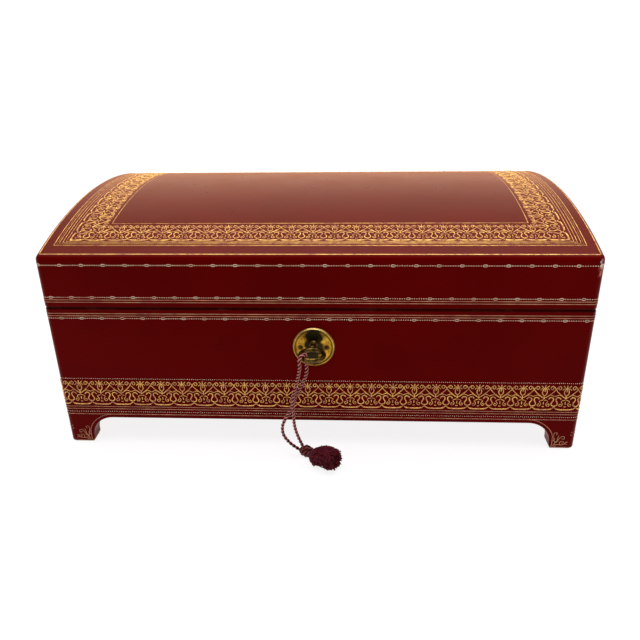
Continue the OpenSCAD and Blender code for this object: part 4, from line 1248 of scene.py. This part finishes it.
class CASE_OT_linings(bpy.types.Operator):
    """Lines the case, the tray and the lid with velvet and quilted satin"""
    bl_idname = "jewelcase.linings"
    bl_label = "Linings"

    def execute(self, context):
        linings = context.scene.case_linings
        velvet, satin = finish(cotton_velvet), finish(rayon_satin)
        fold = linings.fold
        for node in ("lining_front", "lining_back", "lining_left", "lining_right", "tray_ledges"):
            folded(node, "case", velvet, fold)
        for node in ("tray_front", "tray_back", "tray_left", "tray_right", "tray_floor", "tray_ring_divider",
                     "tray_right_divider", "tray_cross_dividers"):
            folded(node, "tray", velvet, 0.8 * fold)
        folded("lid_lining", "lid", velvet, fold)
        folded("tray_tabs", "tray", satin, 0.3 * fold)
        self.pad_floor(velvet)
        self.quilt_lid(satin, linings.quilt)
        self.roll_rings(velvet)
        return {"FINISHED"}

    def pad_floor(self, velvet):
        """The thin pad in the bottom of the case, fuller in the middle."""
        lo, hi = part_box("floor_pad")
        bm = box(lo, hi)
        bmesh.ops.subdivide_edges(bm, edges=long_edges(bm, 0), cuts=60, use_grid_fill=True)
        bmesh.ops.subdivide_edges(bm, edges=long_edges(bm, 1), cuts=40, use_grid_fill=True)
        for v in bm.verts:
            if v.co.z > (lo.z + hi.z) / 2:
                edge = min(v.co.x - lo.x, hi.x - v.co.x, v.co.y - lo.y, hi.y - v.co.y)
                v.co.z -= 1.2 * MM * (1 - min(1, edge / (9 * MM))) ** 2
                v.co.z -= 0.25 * MM * (1 + noise.noise(v.co * 38))
        pad = make_piece(bm, "floor_cushion", "case", velvet, 60)
        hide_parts("floor_pad")

    def quilt_lid(self, satin, spacing):
        """Satin quilted in diamonds over wadding on the underside of the dome."""
        lo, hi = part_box("lid_pad")
        bm = bmesh.new()
        bmesh.ops.create_grid(bm, x_segments=140, y_segments=96, size=0.5)
        half_x, half_y = (hi.x - lo.x) / 2 - 1.7 * MM, (hi.y - lo.y) / 2 - 1.7 * MM
        bmesh.ops.scale(bm, vec=(2 * half_x, 2 * half_y, 1), verts=bm.verts)
        grown = bmesh.ops.extrude_face_region(bm, geom=bm.faces[:])["geom"]
        low = set(verts_of(grown))
        for v in bm.verts:
            x, y = v.co.x, v.co.y
            a, b = (x + y) / spacing, (x - y) / spacing
            puff = (abs(math.sin(math.pi * a)) * abs(math.sin(math.pi * b))) ** 0.45
            edge = min(1, min(half_x - abs(x), half_y - abs(y)) / (6 * MM))
            depth = 6.1 * MM + ((0.5 + 1.9 * puff) * math.sqrt(max(edge, 0)) * MM if v in low else -0.1 * MM)
            v.co.z = DOME_Z + math.sqrt((DOME_R - depth) ** 2 - y * y)
        bmesh.ops.recalc_face_normals(bm, faces=bm.faces)
        pad = make_piece(bm, "lid_quilting", "lid", satin, 50)
        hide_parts("lid_pad")

    def roll_rings(self, velvet):
        """Padded rolls that grip rings between them."""
        for k, (lo, hi) in enumerate(solids_of("ring_rolls")):
            centre, size = (lo + hi) / 2, hi - lo
            bm = bmesh.new()
            bmesh.ops.create_cone(bm, cap_ends=True, segments=40, radius1=0.5, radius2=0.5, depth=1,
                                  matrix=Matrix.Rotation(math.pi / 2, 4, "Y"))
            bmesh.ops.scale(bm, vec=(size.x, size.y, size.z), verts=bm.verts)
            ends = [f for f in bm.faces if abs(f.normal.x) > 0.9]
            round_edges(bm, [e for f in ends for e in f.edges], 2.5 * MM, 4)
            bmesh.ops.subdivide_edges(bm, edges=[e for e in long_edges(bm, 0) if e.calc_length() > 0.05], cuts=40,
                                      use_grid_fill=True)
            bmesh.ops.translate(bm, vec=centre, verts=bm.verts)
            for v in bm.verts:
                plump = 0.45 * MM * (noise.noise(v.co * 60) - 0.6)
                away = Vector((0, v.co.y - centre.y, v.co.z - centre.z))
                if away.length > 1 * MM:
                    v.co += away.normalized() * plump
            roll = make_piece(bm, f"ring_roll_{k + 1}", "tray", velvet, 60)
            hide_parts("ring_rolls")


class CASE_OT_finishes(bpy.types.Operator):
    """Gives every shown board, hinge, lock part and screw its finish"""
    bl_idname = "jewelcase.finishes"
    bl_label = "Finishes of the fixed parts"

    def execute(self, context):
        kinds = {
            planed_poplar: ("panel", "rail", "board"),
            wool_baize: ("baize",),
            lacquered_brass: ("escutcheon",),
            rolled_brass: ("lock_plate", "screws", "leaves", "catch", "bolt"),
            rolled_steel: ("lock_box", "hinge_pins"),
            cotton_velvet: ("lining", "tray", "pad", "roll"),
            handled_brass: ("key",),
            twisted_rayon: ("cord", "knot"),
            chenille_yarn: ("tassel",),
            glazed_goatskin: ("leather",),
        }
        for name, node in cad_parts.items():
            maker = next((m for m, words in kinds.items() if any(w in name for w in words)), None)
            if maker is None:
                raise RuntimeError(f"no finish is known for {name}")
            node.data.materials.clear()
            node.data.materials.append(finish(maker))
        return {"FINISHED"}


# ---------------------------------------------------------------- stage

class CASE_OT_stage(bpy.types.Operator):
    """Lays the lit white sweep and sets the soft lights and the camera"""
    bl_idname = "jewelcase.stage"
    bl_label = "Stage"

    def execute(self, context):
        scene, stage = context.scene, context.scene.case_stage
        bm = bmesh.new()
        reach = stage.flat + stage.sweep
        near = bm.edges.new([bm.verts.new((x, -reach, 0)) for x in (-reach, reach)])
        deep = bmesh.ops.extrude_edge_only(bm, edges=[near])["geom"]
        bmesh.ops.translate(bm, vec=(0, 2 * reach, 0), verts=verts_of(deep))
        back = [g for g in deep if isinstance(g, bmesh.types.BMEdge)]
        tall = bmesh.ops.extrude_edge_only(bm, edges=back)["geom"]
        bmesh.ops.translate(bm, vec=(0, 0, stage.sweep + 1), verts=verts_of(tall))
        round_edges(bm, back, stage.sweep, 32)
        bmesh.ops.recalc_face_normals(bm, faces=bm.faces)
        floor = make_piece(bm, "paper_sweep", None, finish(opal_acrylic), 60)

        world = bpy.data.worlds.new("pale room")
        world.use_nodes = True
        join(world.node_tree, world.node_tree.nodes["Background"], [(*linear("FFFEFE"), 1), stage.room])
        scene.world = world

        light = bpy.data.lights.new("overhead", "SUN")
        light.energy, light.angle = stage.above, math.radians(70)
        lamp = bpy.data.objects.new("overhead", light)
        scene.collection.objects.link(lamp)
        lamp.rotation_euler = (math.radians(-8), 0, 0)

        camera = bpy.data.cameras.new("camera")
        camera.lens, camera.sensor_width = stage.lens, 36
        eye = bpy.data.objects.new("camera", camera)
        scene.collection.objects.link(eye)
        down, turn, roll = 0.432, -0.057, -0.018          # in radians
        ahead = Vector((math.sin(turn) * math.cos(down), math.cos(turn) * math.cos(down), -math.sin(down)))
        right = Vector((math.cos(turn), -math.sin(turn), 0))
        above = right.cross(ahead)
        axis_x = right * math.cos(roll) + above * math.sin(roll)
        axis_y = -right * math.sin(roll) + above * math.cos(roll)
        pose = Matrix((axis_x, axis_y, -ahead)).transposed().to_4x4()
        pose.translation = (0.02135, -0.4271, 0.2337)
        eye.matrix_world = pose
        scene.camera = eye
        scene.view_settings.view_transform = "Standard"   # colours are then those of the materials under white light
        return {"FINISHED"}


# ---------------------------------------------------------------- add-on

OPERATORS = (CASE_OT_finishes, CASE_OT_covers, CASE_OT_case_tooling, CASE_OT_lid_tooling, CASE_OT_escutcheon,
             CASE_OT_key, CASE_OT_cord, CASE_OT_linings, CASE_OT_stage)
GROUPS = {"case_covers": CoverSettings, "case_tooling": ToolingSettings, "case_cord": CordSettings,
          "case_linings": LiningSettings, "case_stage": StageSettings}


class CASE_PT_panel(bpy.types.Panel):
    """Sidebar panel with the pieces and their sizes"""
    bl_idname = "CASE_PT_panel"
    bl_label = "Jewellery case"
    bl_space_type = "VIEW_3D"
    bl_region_type = "UI"
    bl_category = "Jewellery case"

    def draw(self, context):
        for operator in OPERATORS:
            self.layout.operator(operator.bl_idname)
        for name, group in GROUPS.items():
            column = self.layout.column(align=True)
            for key in group.__annotations__:
                column.prop(getattr(context.scene, name), key)


def register():
    for cls in (*GROUPS.values(), *OPERATORS, CASE_PT_panel):
        bpy.utils.register_class(cls)
    for name, group in GROUPS.items():
        setattr(bpy.types.Scene, name, PointerProperty(type=group))


def unregister():
    for name in GROUPS:
        delattr(bpy.types.Scene, name)
    for cls in reversed((*GROUPS.values(), *OPERATORS, CASE_PT_panel)):
        bpy.utils.unregister_class(cls)


def main():
    register()
    for operator in OPERATORS:
        group, name = operator.bl_idname.split(".")
        getattr(getattr(bpy.ops, group), name)()


if __name__ == "__main__":
    main()
